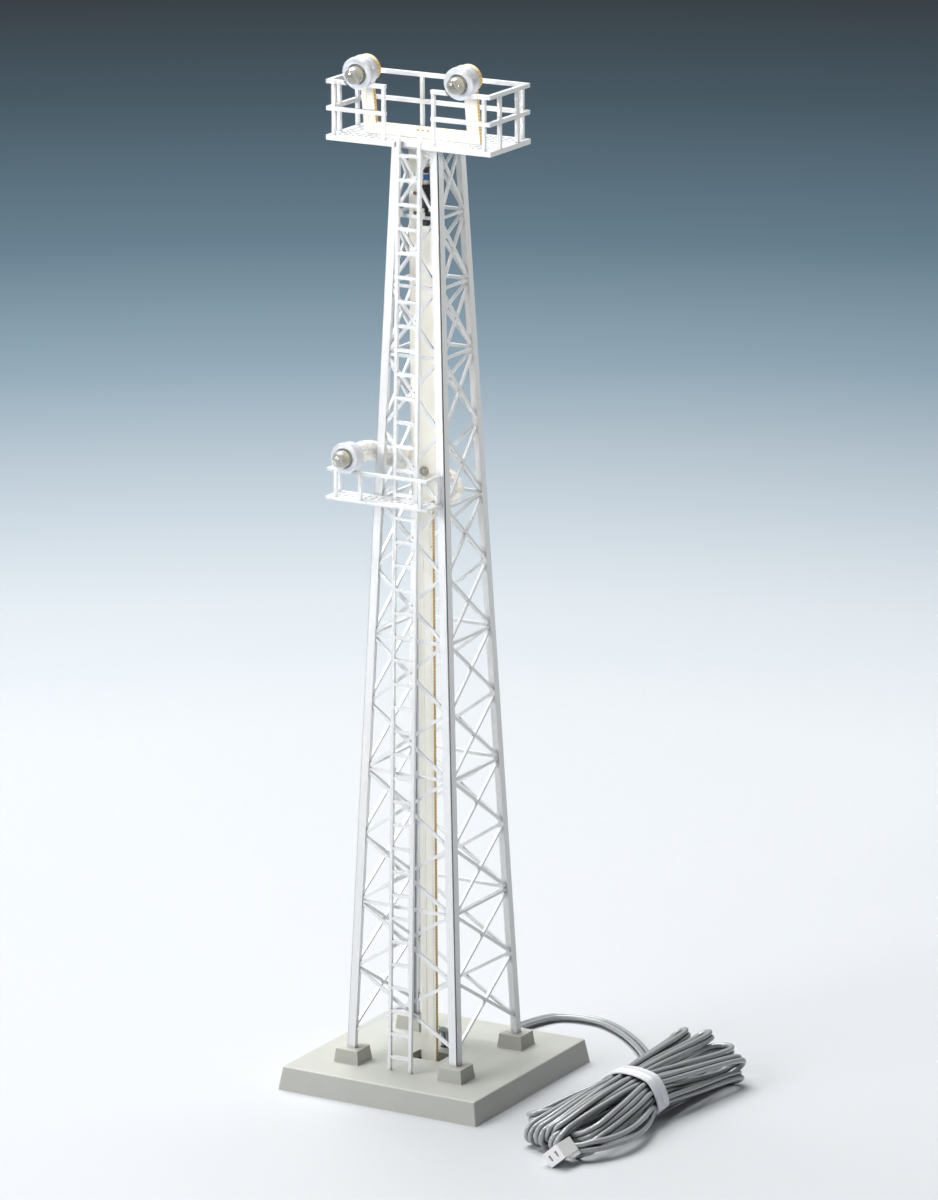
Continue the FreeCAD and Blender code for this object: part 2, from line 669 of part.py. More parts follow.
def make_circuit_board():
    body = new_body("circuit_board")
    strip_sketch = new_sketch(body, "board_strip", "XZ_Plane", size.board_front - size.board_thickness)
    narrow = size.strip_width / 2
    wide = size.wide_strip_width / 2
    shoulder = size.strip_top + (size.wide_strip_width - size.strip_width) / 2
    strip_end = deck_top + 0.6
    outline(strip_sketch, [(-narrow, size.board_foot), (narrow, size.board_foot), (narrow, size.strip_top),
                           (wide, shoulder), (wide, strip_end), (-wide, strip_end), (-wide, shoulder),
                           (-narrow, size.strip_top)])
    pad(body, strip_sketch, size.board_thickness)
    thickness = number(size.board_thickness)
    tilt = lean_frame()

    def head_sketch(name):
        sketch = new_sketch(body, name, "XZ_Plane")
        local = Placement(tilt.Base + tilt.Rotation.multVec(Vector(0, thickness / 2, 0)), tilt.Rotation)
        upright = Placement(Vector(0, 0, 0), Rotation(Vector(1, 0, 0), 90))
        sketch.setExpression("AttachmentOffset.Base.z", None)
        sketch.AttachmentOffset = upright.inverse().multiply(local).multiply(upright)
        return sketch

    head = head_sketch("board_head")
    outer = size.cross_bar_half_length
    inner = size.cross_bar_half_length - size.arm_width
    arm_top = size.head_rise
    outline(head, [(-outer, 0.08), (outer, 0.08), (outer, arm_top), (inner, arm_top),
                   (inner, size.cross_bar_height), (-inner, size.cross_bar_height), (-inner, arm_top),
                   (-outer, arm_top)])
    pad(body, head, size.board_thickness)
    doc.recompute()
    discs = head_sketch("head_discs")
    for side in (-1, 1):
        circle(discs, size.head_centre * side, size.head_rise, size.head_radius)
    pad(body, discs, size.board_thickness)
    doc.recompute()
    holes = head_sketch("lead_holes")
    for side in (-1, 1):
        for lead in (-1, 1):
            circle(holes, size.head_centre * side + size.lead_spacing / 2 * lead, size.head_rise,
                   size.lead_hole_radius)
    pocket(body, holes, size.board_thickness, reverse=True)
    return body


# ---- lamps ----

def lamp_frames():
    """Each lamp's frame: origin on its axis at the board side, +Z towards the light."""
    tilt = lean_frame()
    forward = Rotation(Vector(1, 0, 0), 90)
    back = -number(size.board_thickness) / 2
    frames = {}
    for name, side in (("left", -1), ("right", 1)):
        seat = tilt.multVec(Vector(side * number(size.head_centre), back - number(size.housing_gap),
                                   number(size.head_rise)))
        frames[name] = Placement(seat, tilt.Rotation.multiply(forward))
    length = number(size.housing_length)
    frames["mid"] = Placement(Vector(-number(size.mid_lamp_x), -number(size.mid_lamp_front) + length,
                                     number(size.mid_lamp_height)), forward)
    return frames


def make_lamp(name, frame):
    """A stepped housing with a clear LED standing out of its bore.

    The lower lamp has a slimmer housing, and its short leads end where its sleeves begin.
    """
    lower = name == "mid"
    trim = size.mid_housing_trim if lower else 0
    rim_start = size.housing_length - size.housing_rim_length
    groove_start = rim_start - size.housing_groove_width
    rim = size.housing_radius - trim
    step = size.housing_step_radius - trim
    bore = size.housing_bore
    flange_room = size.led_flange_radius + 0.04
    housing = turned("lamp_housing_" + name, [
        (flange_room, 0), (size.housing_neck_radius, 0),
        (size.housing_neck_radius, size.housing_neck_length),
        (step, size.housing_neck_length), (step, groove_start),
        (size.housing_groove_radius - trim, groove_start), (size.housing_groove_radius - trim, rim_start),
        (rim - 0.12, rim_start), (rim, rim_start + 0.12),
        (rim, size.housing_length - 0.2), (rim - 0.2, size.housing_length),
        (bore, size.housing_length), (bore, size.led_flange_length + 0.1),
        (flange_room, size.led_flange_length + 0.1)])
    housing.Placement = frame
    flange = cylinder(f"led_flange_{name}", size.led_flange_radius, size.led_flange_length - 0.04,
                      0, 0, 0.04)
    shaft = cylinder(f"led_shaft_{name}", size.led_radius, size.led_length, 0, 0, 0.04)
    dome = doc.addObject("Part::Sphere", f"led_dome_{name}")
    bind(dome, "Radius", size.led_radius)
    dome.Angle1 = 0.0
    place(dome, 0, 0, size.led_length + 0.04)
    lens = fuse("led_" + name, [flange, shaft, dome])
    lens.Placement = frame
    half = size.lead_width / 2
    tail = size.housing_gap if lower else size.board_thickness + size.housing_gap + size.lead_tail
    pins = []
    for lead in (-1, 1):
        middle = size.lead_spacing / 2 * lead
        pins.append(box(f"lead_{name}_{'ab'[lead > 0]}", (middle - half, middle + half), (-half, half),
                        (-tail, 0.02)))
    leads = group("led_leads_" + name, pins)
    leads.Placement = frame
    return [housing, lens, leads]


# ---- wires and other swept pieces ----

def smooth_path(points):
    curve = Part.BSplineCurve()
    curve.interpolate([Vector(*point) for point in points])
    return Part.Wire([curve.toShape()])


def swept(path, profile):
    """A solid swept along a path from a closed profile wire set square to its start."""
    shape = Part.BRepOffsetAPI.MakePipeShell(path)
    shape.setFrenetMode(False)
    shape.add(profile)
    shape.build()
    shape.makeSolid()
    return shape.shape()


def start_of(path):
    edge = path.Edges[0]
    return edge.valueAt(edge.FirstParameter), edge.tangentAt(edge.FirstParameter)


def round_wire(points, radius):
    path = smooth_path(points)
    start, heading = start_of(path)
    return swept(path, Part.Wire([Part.makeCircle(radius, start, heading)]))


def twin_wire(points, radius):
    """A flat two-core cord: two touching cores with a web between, swept flat."""
    path = smooth_path(points)
    start, heading = start_of(path)
    sideways = heading.cross(Vector(0, 0, 1))
    if sideways.Length < 0.1:
        sideways = Vector(1, 0, 0)
    sideways.normalize()
    upward = sideways.cross(heading).normalize()
    left = start - sideways * radius
    right = start + sideways * radius
    rise = upward * radius
    edges = [Part.makeLine(left + rise, right + rise),
             Part.Arc(right + rise, right + sideways * radius, right - rise).toShape(),
             Part.makeLine(right - rise, left - rise),
             Part.Arc(left - rise, left - sideways * radius, left + rise).toShape()]
    return swept(path, Part.Wire(edges))


def make_mid_wires():
    """The lower lamp's two sleeved leads, which enter by the left side and pass behind the board.

    The upper one goes on to a hairpin bend on the board's far side.
    """
    x = -number(size.mid_lamp_x)
    rear = -number(size.mid_lamp_front) + number(size.housing_length)
    start = rear + number(size.housing_gap) + 0.12
    height = number(size.mid_lamp_height)
    spread = number(size.sleeve_spread)
    sleeves = []
    for lift, tail in ((spread, [(1.0, 0.9, 109.6), (4.2, 0.9, 108.1), (5.15, 0.9, 106.2), (3.9, 0.9, 104.6),
                                 (1.6, 0.7, 104.1)]),
                       (-spread, [(1.4, 0.6, 107.6)])):
        entry = [(x, start, height + lift), (x, -7.6, height - 0.1 + lift),
                 (x + 0.35, -5.0, height - 0.6 + lift), (-6.8, -3.75, height - 1.4 + lift),
                 (-4.6, -2.1, height - 2.1 + lift), (-2.7, -0.1, height - 2.8 + lift)]
        sleeves.append(round_wire(entry + tail, number(size.sleeve_radius)))
    return feature("mid_lead_sleeves", Part.makeCompound(sleeves))


def main_cord_points():
    """From the back of the board down into the base, out at the rear and round to the bundle."""
    hole = number(size.cord_hole_centre)
    back = -number(size.board_front) + number(size.board_thickness)
    floor = number(size.cord_floor)
    inside = number(size.cover_thickness) + number(size.core_radius) + 0.35
    edge = number(size.base_width) / 2
    reach = number(size.cord_reach)
    rise = number(size.cord_rise)
    return [(0, back + 0.75, rise - 1.4), (0, back + 1.7, rise), (0, hole - 0.5, rise - 1.2),
            (0, hole, 4.0), (0, hole + 1.1, 2.1), (0, hole + 4, inside), (0, edge - 2, inside),
            (0.3, edge + 4, floor + 0.2), (4.0, reach - 1.6, floor), (11.5, reach, floor),
            (20.0, reach - 4.4, floor), (27.5, 26.0, floor + 0.3), (32.0, 19.5, floor + 0.9)]


def make_power_cord():
    return feature("power_cord", twin_wire(main_cord_points(), number(size.core_radius)))


def make_cord_anchor():
    """A small clamp block over the cord inside the base."""
    half = size.cord_channel_width / 2 + 1.3
    low = size.cover_thickness + size.ballast_thickness + 0.12
    return box("cord_anchor", (-half, half), (11.0, 13.6), (low, cavity_top - 0.05))


def ellipse_wire(x, y, height, half_width, half_height):
    """An upright ellipse across the bundle, standing at y."""
    upright = Placement(Vector(x, y, height), Rotation(Vector(1, 0, 0), 90))
    if half_width >= half_height:
        curve = Part.Ellipse(Vector(0, 0, 0), half_width, half_height)
    else:
        curve = Part.Ellipse(Vector(0, 0, 0), half_height, half_width)
    wire = Part.Wire([curve.toShape()])
    wire.Placement = upright
    return wire


def make_cord_bundle():
    """The wound cord as one closed body: two flat lobes with a waist under the tie."""
    near, far, waist = number(size.bundle_near), number(size.bundle_far), number(size.bundle_waist)
    lobe, narrow = number(size.bundle_lobe_half), number(size.bundle_waist_half)
    high = number(size.bundle_height) / 2
    centre = number(size.bundle_x)
    sections = [(near, 0.55 * lobe, 0.45 * high), (near + 0.22 * (waist - near), 0.97 * lobe, 0.95 * high),
                (near + 0.6 * (waist - near), 0.9 * lobe, high), (waist, narrow, high),
                (waist + 0.45 * (far - waist), 0.9 * lobe, 0.97 * high),
                (waist + 0.8 * (far - waist), 1.05 * lobe, 0.95 * high), (far, 0.7 * lobe, 0.5 * high)]
    wires = [ellipse_wire(centre, y, high + 0.05, wide, tall) for y, wide, tall in sections]
    return feature("cord_bundle", Part.makeLoft(wires, True, False))


def make_cord_tie():
    """A flat vinyl band round the bundle's waist."""
    high = number(size.bundle_height) / 2
    narrow = number(size.bundle_waist_half)
    thickness = number(size.tie_thickness)
    clear = 0.35
    waist = number(size.bundle_waist)
    width = number(size.tie_width)
    rings = []
    for grow in (clear + thickness, clear):
        wire = ellipse_wire(number(size.bundle_x), waist + width / 2, high + 0.05, narrow + grow,
                            high + grow)
        rings.append(Part.Face(wire).extrude(Vector(0, -width, 0)))
    band = rings[0].cut(rings[1])
    floor_cut = Part.makeBox(100, 100, 10, Vector(0, -50, -10))
    return feature("cord_tie", band.cut(floor_cut))


# ---- plug ----

def plug_frame():
    """Origin at the middle of the plug's mouth, +Y towards the wires, rolled on its corner."""
    return Placement(Vector(number(size.plug_x), number(size.plug_front), number(size.plug_rise)),
                     Rotation(Vector(0, 1, 0), -number(size.plug_roll)))


def make_plug_housing():
    body = new_body("plug_housing")
    block = new_sketch(body, "plug_block", "XZ_Plane", -size.plug_length)
    half_width = size.plug_width / 2
    half_height = size.plug_height / 2
    rectangle(block, (-half_width, half_width), (-half_height, half_height))
    pad(body, block, size.plug_length)
    wing = new_sketch(body, "plug_wing", "XZ_Plane", -size.plug_length)
    rectangle(wing, (half_width - 0.9, half_width - 0.1),
              (-half_height - size.plug_wing, half_height - 0.2))
    pad(body, wing, size.plug_wing_length)
    doc.recompute()
    mouths = new_sketch(body, "plug_mouths", "XZ_Plane")
    for side in (-1, 1):
        middle = size.plug_pitch / 2 * side
        rectangle(mouths, (middle - size.plug_slot_width / 2, middle + size.plug_slot_width / 2),
                  (-size.plug_slot_height / 2, size.plug_slot_height / 2))
    pocket(body, mouths, size.plug_length)
    body.Placement = plug_frame()
    return body


def make_plug_contacts():
    contacts = []
    inset = size.contact_inset
    for side in (-1, 1):
        middle = size.plug_pitch / 2 * side
        reach = size.plug_slot_width / 2 - 0.03
        tall = size.plug_slot_height / 2 - 0.05
        contacts.append(box(f"contact_{'ab'[side > 0]}", (middle - reach, middle + reach),
                            (inset, inset + size.contact_length), (-tall, tall)))
    pair = group("plug_contacts", contacts)
    pair.Placement = plug_frame()
    return pair


def make_plug_leads():
    """The two cores, split apart, from the plug's back to the bundle."""
    frame = plug_frame()
    cores = []
    for side in (-1, 1):
        start = frame.multVec(Vector(number(size.plug_pitch) / 2 * side, number(size.plug_length) - 0.9, 0))
        leave = frame.multVec(Vector(number(size.plug_pitch) / 2 * side, number(size.plug_length) + 0.3, 0))
        cores.append(round_wire([tuple(start), tuple(leave)], 0.2))
    return feature("plug_leads", Part.makeCompound(cores))


# ---- parts soldered to the board ----

def make_board_parts():
    front = -size.board_front
    upright = Rotation()
    stand_off = front - size.resistor_radius - 0.12
    resistor = cylinder("dropping_resistor", size.resistor_radius, size.resistor_length, size.resistor_x,
                        stand_off, size.resistor_low, upright)
    sleeve_off = front - size.shrink_radius - 0.06
    sleeve = cylinder("shrink_sleeve", size.shrink_radius, size.shrink_length, size.resistor_x, sleeve_off,
                      size.shrink_low, upright)
    x = number(size.resistor_x)
    off = number(stand_off)
    wire = number(size.component_lead)
    high = number(size.resistor_low + size.resistor_length)
    bend = high + number(size.lead_rise) / 2
    arch = [(x, off, high + 0.02), (x, off, bend - 0.3), (x, off + 0.12, bend), (x, off + 0.4, bend + 0.1),
            (x, number(front) - 0.02, bend + 0.1)]
    link = [(x, off, number(size.shrink_low + size.shrink_length) + 0.02),
            (x, off, number(size.resistor_low) - 0.02)]
    leads = feature("resistor_leads", Part.makeCompound([round_wire(arch, wire), round_wire(link, wire)]))
    return [resistor, sleeve, leads]


def make_solder_joints():
    """Domes of solder: the lower lamp's on the board's face, the cord's on its back."""
    front = -size.board_front
    back = front + size.board_thickness
    outward = Rotation(Vector(1, 0, 0), 90)
    inward = Rotation(Vector(1, 0, 0), -90)
    domes = [cone("solder_lower_lamp", size.solder_radius, size.solder_radius * 0.55, size.solder_height, 0,
                  front - 0.01, 109.4, outward)]
    for side in (-1, 1):
        domes.append(cone(f"solder_cord_{'ab'[side > 0]}", size.solder_radius * 0.6, size.solder_radius * 0.3,
                          size.solder_height, 0.55 * side, back + 0.01, size.cord_rise - 1.9, inward))
    return group("solder_joints", domes)


# ---- build, check and write ----

nodes = [make_base_housing(), make_base_cover(), make_ballast(), make_cover_screws(), make_cord_anchor()]
nodes += make_lattices()
nodes += [make_top_deck(), make_mid_deck()]
nodes += make_railings()
nodes += [make_ladder(), make_circuit_board()]
for lamp_name, lamp_frame in lamp_frames().items():
    nodes += make_lamp(lamp_name, lamp_frame)
nodes += [make_mid_wires()]
nodes += make_board_parts()
nodes += [make_solder_joints(), make_power_cord(), make_cord_bundle(), make_cord_tie(), make_plug_housing(),
          make_plug_contacts(), make_plug_leads()]

doc.recompute()
for item in doc.Objects:
    if "Invalid" in item.State or "Error" in item.State:
        raise RuntimeError(f"{item.Name} failed: {item.State}")
for node in nodes:
    node.Label = node.Name
    if node.Shape.isNull() or not node.Shape.isValid() or not node.Shape.Solids:
        raise RuntimeError(f"{node.Label} has no valid solid")

os.makedirs("parts", exist_ok=True)
for node in nodes:
    node.Shape.exportStep(f"parts/{node.Label}.step")
    print(node.Label, len(node.Shape.Solids), round(node.Shape.Volume, 2))
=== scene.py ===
"""Looks of the model yard floodlight tower: materials, moulded detail, lamps, wiring and the wound cord."""
import json
import math

import bmesh
import bpy
import numpy as np
from mathutils import Matrix, Vector


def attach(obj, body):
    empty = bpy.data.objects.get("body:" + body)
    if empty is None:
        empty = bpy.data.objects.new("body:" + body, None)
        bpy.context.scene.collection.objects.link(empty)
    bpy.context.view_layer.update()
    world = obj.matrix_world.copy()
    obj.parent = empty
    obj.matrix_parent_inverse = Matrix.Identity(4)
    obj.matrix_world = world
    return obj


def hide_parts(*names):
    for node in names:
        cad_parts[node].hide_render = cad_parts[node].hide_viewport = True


MM = 0.001
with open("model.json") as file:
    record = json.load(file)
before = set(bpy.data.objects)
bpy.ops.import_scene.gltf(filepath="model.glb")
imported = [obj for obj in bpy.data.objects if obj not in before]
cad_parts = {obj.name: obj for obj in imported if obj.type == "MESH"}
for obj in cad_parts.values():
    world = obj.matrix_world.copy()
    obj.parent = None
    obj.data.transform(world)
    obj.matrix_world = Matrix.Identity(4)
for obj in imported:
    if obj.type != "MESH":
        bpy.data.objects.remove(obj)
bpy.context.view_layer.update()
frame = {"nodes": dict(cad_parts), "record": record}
NODES = frame["nodes"]


# ---- node graphs ----

class Graph:
    """A short way to write a material's node tree."""

    def __init__(self, name):
        self.material = bpy.data.materials.new(name)
        self.material.use_nodes = True
        self.tree = self.material.node_tree
        self.tree.nodes.clear()
        self.output = self.tree.nodes.new("ShaderNodeOutputMaterial")
        self.place = self.add("ShaderNodeTexCoord").outputs["Object"]

    def add(self, kind, inputs=None, **settings):
        node = self.tree.nodes.new(kind)
        for key, value in settings.items():
            setattr(node, key, value)
        for key, value in (inputs or {}).items():
            self.feed(node.inputs[key], value)
        return node

    def feed(self, socket, value):
        if isinstance(value, bpy.types.NodeSocket):
            self.tree.links.new(value, socket)
        elif socket.type == "RGBA" and len(value) == 3:
            socket.default_value = (*value, 1.0)
        else:
            socket.default_value = value

    def noise(self, grain_mm, detail=3.0, stretch=(1, 1, 1), rough=0.55):
        """Noise whose features are about grain_mm across."""
        scaled = self.add("ShaderNodeMapping", {"Vector": self.place, "Scale": stretch})
        return self.add("ShaderNodeTexNoise", {"Vector": scaled.outputs[0], "Scale": 1 / (grain_mm * MM),
                                               "Detail": detail, "Roughness": rough}).outputs["Fac"]

    def ramp(self, factor, stops):
        node = self.add("ShaderNodeValToRGB", {"Fac": factor})
        elements = node.color_ramp.elements
        while len(elements) < len(stops):
            elements.new(0.5)
        for element, (position, colour) in zip(elements, stops):
            element.position = position
            element.color = (*colour, 1.0) if len(colour) == 3 else colour
        return node.outputs["Color"]

    def mix(self, factor, low, high):
        node = self.add("ShaderNodeMix", data_type="RGBA")
        self.feed(node.inputs[0], factor)
        self.feed(node.inputs[6], low)
        self.feed(node.inputs[7], high)
        return node.outputs[2]

    def blend(self, factor, low, high):
        """A number from low to high as the factor goes from 0 to 1."""
        node = self.add("ShaderNodeMapRange", {"Value": factor, "To Min": low, "To Max": high})
        return node.outputs["Result"]

    def stretch(self, value, start, full):
        """0 up to start, 1 from full on, even between them."""
        inputs = {"Value": value, "From Min": start, "From Max": full}
        return self.add("ShaderNodeMapRange", inputs).outputs["Result"]

    def maths(self, operation, first, second=0.0):
        node = self.add("ShaderNodeMath", operation=operation)
        self.feed(node.inputs[0], first)
        self.feed(node.inputs[1], second)
        return node.outputs[0]

    def edge_highlight(self, radius_mm):
        """1 on edges, 0 on flats, from how far a softened normal turns away from the real one; used to paint
        highlights on edges.
        """
        geometry = self.add("ShaderNodeNewGeometry")
        bevel = self.add("ShaderNodeBevel", {"Radius": radius_mm * MM}, samples=4)
        dot = self.add("ShaderNodeVectorMath", operation="DOT_PRODUCT")
        self.feed(dot.inputs[0], bevel.outputs[0])
        self.feed(dot.inputs[1], geometry.outputs["Normal"])
        lost = self.maths("SUBTRACT", 1.0, dot.outputs["Value"])
        return self.stretch(lost, 0.01, 0.12)

    def hidden_shade(self, reach_mm, start=0.0, full=1.0):
        """From 0 to 1 as the share of the surroundings that is hidden goes from start to full; used to paint
        shade into hollows.
        """
        node = self.add("ShaderNodeAmbientOcclusion", {"Distance": reach_mm * MM}, samples=6)
        hidden = self.maths("SUBTRACT", 1.0, node.outputs["AO"])
        return self.stretch(hidden, start, full)

    def bump(self, height, depth_mm, strength=1.0, below=None):
        inputs = {"Height": height, "Distance": depth_mm * MM, "Strength": strength}
        if below is not None:
            inputs["Normal"] = below
        return self.add("ShaderNodeBump", inputs).outputs[0]

    def finish(self, **inputs):
        """A principled surface; underscores in names stand for spaces."""
        shader = self.add("ShaderNodeBsdfPrincipled")
        for key, value in inputs.items():
            self.feed(shader.inputs[key.replace("_", " ")], value)
        self.tree.links.new(shader.outputs[0], self.output.inputs["Surface"])
        return self.material


# ---- materials ----

def silver_plastic(name, tone=1.0):
    """Silver-pigmented moulding: fine flake grain, soft flow marks, a painted highlight on the edges and
    painted shade in inside corners; a tone below 1 paints a darker, shaded copy.
    """
    g = Graph(name)
    flow = g.noise(9.0, 4, (1, 1, 0.35))
    flake = g.noise(0.10, 2)
    orange_peel = g.noise(0.45, 3)
    colour = g.mix(flow, (0.76, 0.775, 0.79), (0.84, 0.85, 0.86))
    colour = g.mix(g.ramp(flake, [(0.42, (0, 0, 0)), (0.62, (1, 1, 1))]), colour, (0.91, 0.92, 0.93))
    # painted highlight: edges are lightened towards near-white
    colour = g.mix(g.maths("MULTIPLY", g.edge_highlight(0.10), 0.5), colour, (0.97, 0.98, 0.99))
    # painted shade: a tone below 1 darkens the whole colour, for a shaded copy of this moulding
    colour = g.mix(1.0 - tone, colour, (0.10, 0.11, 0.12))
    # painted shade: corners and gaps hidden by nearby surfaces are darkened
    colour = g.mix(g.maths("MULTIPLY", g.hidden_shade(0.8), 0.85), colour, (0.16, 0.18, 0.19))
    normal = g.bump(orange_peel, 0.012, 0.8)
    normal = g.bump(flake, 0.010, 0.7, normal)
    return g.finish(Base_Color=colour, Metallic=0.18, Roughness=g.blend(flake, 0.34, 0.50), Normal=normal,
                    Coat_Weight=0.15, Coat_Roughness=0.35)


def lamp_silver():
    g = Graph("lamp_silver")
    spun = g.noise(0.07, 2)
    colour = g.mix(g.noise(2.5), (0.74, 0.76, 0.80), (0.83, 0.85, 0.89))
    # painted highlight: the housing's edges are lightened towards near-white
    colour = g.mix(g.maths("MULTIPLY", g.edge_highlight(0.12), 0.6), colour, (0.95, 0.96, 0.98))
    return g.finish(Base_Color=colour, Metallic=0.35, Roughness=g.blend(spun, 0.26, 0.40),
                    Normal=g.bump(spun, 0.006, 0.6), Coat_Weight=0.35, Coat_Roughness=0.18)


def base_plastic():
    """Waxy warm-grey moulding with faint swirls and a fine spark-eroded grain."""
    g = Graph("base_plastic")
    swirl = g.noise(14.0, 5, (1, 0.6, 1))
    mottle = g.noise(2.2, 4)
    grain = g.noise(0.22, 3)
    specks = g.ramp(g.noise(0.7, 1), [(0.70, (0, 0, 0)), (0.76, (1, 1, 1))])
    colour = g.mix(swirl, (0.425, 0.435, 0.395), (0.50, 0.515, 0.475))
    colour = g.mix(g.maths("MULTIPLY", mottle, 0.35), colour, (0.56, 0.56, 0.52))
    colour = g.mix(g.maths("MULTIPLY", specks, 0.25), colour, (0.37, 0.355, 0.31))
    # painted highlight: the base's edges are lightened to a pale warm grey
    colour = g.mix(g.maths("MULTIPLY", g.edge_highlight(0.32), 0.8), colour, (0.76, 0.71, 0.62))
    normal = g.bump(mottle, 0.03, 0.5)
    normal = g.bump(grain, 0.014, 0.8, normal)
    return g.finish(Base_Color=colour, Roughness=g.blend(mottle, 0.42, 0.58), Normal=normal,
                    Subsurface_Weight=0.25, Subsurface_Radius=(1.0, 0.85, 0.6), Subsurface_Scale=0.9 * MM)


def board_laminate():
    """Cream solder mask over glass laminate; the cut edges show the amber core, with a painted highlight on
    edges that face up.
    """
    g = Graph("board_laminate")
    normal_map = g.add("ShaderNodeNewGeometry")
    split = g.add("ShaderNodeSeparateXYZ", {"Vector": normal_map.outputs["True Normal"]})
    facing = g.maths("ABSOLUTE", split.outputs["Y"])
    is_face = g.ramp(facing, [(0.70, (0, 0, 0)), (0.80, (1, 1, 1))])
    cloud = g.noise(3.0, 4)
    weave = g.add("ShaderNodeTexWave", {"Vector": g.place, "Scale": 1 / (1.9 * MM), "Distortion": 1.5,
                                        "Detail": 2.0}, wave_type="BANDS", bands_direction="Z").outputs["Fac"]
    # painted highlight: cut edges that face upwards are lightened
    level = g.ramp(split.outputs["Z"], [(0.45, (0, 0, 0)), (0.80, (1, 1, 1))])
    mask = g.mix(cloud, (0.89, 0.875, 0.79), (0.95, 0.94, 0.87))
    edge = g.mix(weave, (0.62, 0.38, 0.11), (0.80, 0.56, 0.22))
    edge = g.mix(g.maths("MULTIPLY", level, 0.8), edge, (0.84, 0.74, 0.52))
    colour = g.mix(is_face, edge, mask)
    normal = g.bump(g.noise(0.25, 3), 0.010, 0.7)
    return g.finish(Base_Color=colour, Roughness=g.blend(cloud, 0.33, 0.48), Normal=normal,
                    Subsurface_Weight=0.12, Subsurface_Radius=(1.0, 0.8, 0.5), Subsurface_Scale=0.5 * MM)


def trace_mask():
    """Solder mask where copper lies under it: paler and a little glossier, with drawn streaks."""
    g = Graph("trace_mask")
    streak = g.noise(0.8, 4, (1, 1, 0.06))
    return g.finish(Base_Color=g.mix(streak, (0.86, 0.83, 0.72), (0.97, 0.96, 0.90)),
                    Roughness=g.blend(streak, 0.24, 0.38), Normal=g.bump(g.noise(0.25, 3), 0.008, 0.6))


def tinned_wire():
    g = Graph("tinned_wire")
    drawn = g.noise(0.06, 2, (1, 0.15, 1))
    return g.finish(Base_Color=g.mix(g.noise(0.8), (0.56, 0.56, 0.54), (0.74, 0.74, 0.72)), Metallic=1.0,
                    Roughness=g.blend(drawn, 0.22, 0.38), Normal=g.bump(drawn, 0.004, 0.6))


def solder():
    g = Graph("solder")
    frost = g.noise(0.16, 4)
    return g.finish(Base_Color=g.mix(frost, (0.40, 0.42, 0.42), (0.62, 0.64, 0.63)), Metallic=1.0,
                    Roughness=g.blend(frost, 0.28, 0.52), Normal=g.bump(frost, 0.015, 0.6))


def screw_steel():
    g = Graph("screw_steel")
    brushed = g.noise(0.08, 2)
    return g.finish(Base_Color=g.mix(g.noise(1.2), (0.50, 0.50, 0.47), (0.66, 0.66, 0.62)), Metallic=1.0,
                    Roughness=g.blend(brushed, 0.25, 0.42), Normal=g.bump(brushed, 0.005, 0.6))


def ballast_steel():
    g = Graph("ballast_steel")
    scale = g.noise(1.4, 5)
    return g.finish(Base_Color=g.mix(scale, (0.10, 0.10, 0.105), (0.26, 0.25, 0.24)), Metallic=0.85,
                    Roughness=g.blend(scale, 0.38, 0.66), Normal=g.bump(scale, 0.03, 0.6))


def contact_tin():
    g = Graph("contact_tin")
    mark = g.noise(0.2, 3)
    return g.finish(Base_Color=g.mix(mark, (0.62, 0.52, 0.30), (0.78, 0.70, 0.48)), Metallic=1.0,
                    Roughness=g.blend(mark, 0.22, 0.4), Normal=g.bump(mark, 0.006, 0.6))


def vinyl(name, dark, light, sheen, gloss, shade=0.0, coat=(0.55, 0.16)):
    """Soft moulded plastic with faint drawing marks; shade paints shade into the grooves between strands."""
    g = Graph(name)
    cloud = g.noise(4.0, 4)
    fine = g.noise(0.18, 3)
    colour = g.mix(cloud, dark, light)
    colour = g.mix(g.maths("MULTIPLY", fine, 0.18), colour, sheen)
    if shade:
        # painted shade: grooves where strands hide each other are darkened towards near-black
        colour = g.mix(g.maths("MULTIPLY", g.hidden_shade(1.1, 0.28, 0.72), shade), colour, (0.03, 0.026, 0.022))
    normal = g.bump(cloud, 0.03, 0.35)
    normal = g.bump(fine, 0.007, 0.6, normal)
    return g.finish(Base_Color=colour, Roughness=g.blend(fine, *gloss), Normal=normal, Coat_Weight=coat[0],
                    Coat_Roughness=coat[1], Subsurface_Weight=0.08, Subsurface_Scale=0.4 * MM)


def sleeve_tube():
    """Braided glass-fibre sleeve: a fine crossed weave with scorched ends."""
    g = Graph("sleeve_tube")
    stain = g.noise(1.3, 4)
    thread = g.noise(0.16, 3)
    stained = g.ramp(stain, [(0.35, (0, 0, 0)), (0.75, (1, 1, 1))])
    colour = g.mix(stained, (0.96, 0.955, 0.93), (0.82, 0.78, 0.69))
    colour = g.mix(g.maths("MULTIPLY", thread, 0.4), colour, (0.99, 0.985, 0.96))
    return g.finish(Base_Color=colour, Roughness=0.72, Normal=g.bump(thread, 0.03, 0.8),
                    Sheen_Weight=0.3, Sheen_Roughness=0.5)


def shrink_tube():
    g = Graph("shrink_tube")
    wrinkle = g.noise(0.5, 3, (1, 1, 2.2))
    return g.finish(Base_Color=g.mix(wrinkle, (0.012, 0.012, 0.014), (0.035, 0.035, 0.038)),
                    Roughness=g.blend(wrinkle, 0.32, 0.52), Normal=g.bump(wrinkle, 0.05, 0.5))


def resistor_coat():
    g = Graph("resistor_coat")
    cloud = g.noise(0.9, 3)
    return g.finish(Base_Color=g.mix(cloud, (0.66, 0.58, 0.42), (0.76, 0.70, 0.55)), Roughness=0.3,
                    Normal=g.bump(cloud, 0.02, 0.4), Coat_Weight=0.6, Coat_Roughness=0.1)


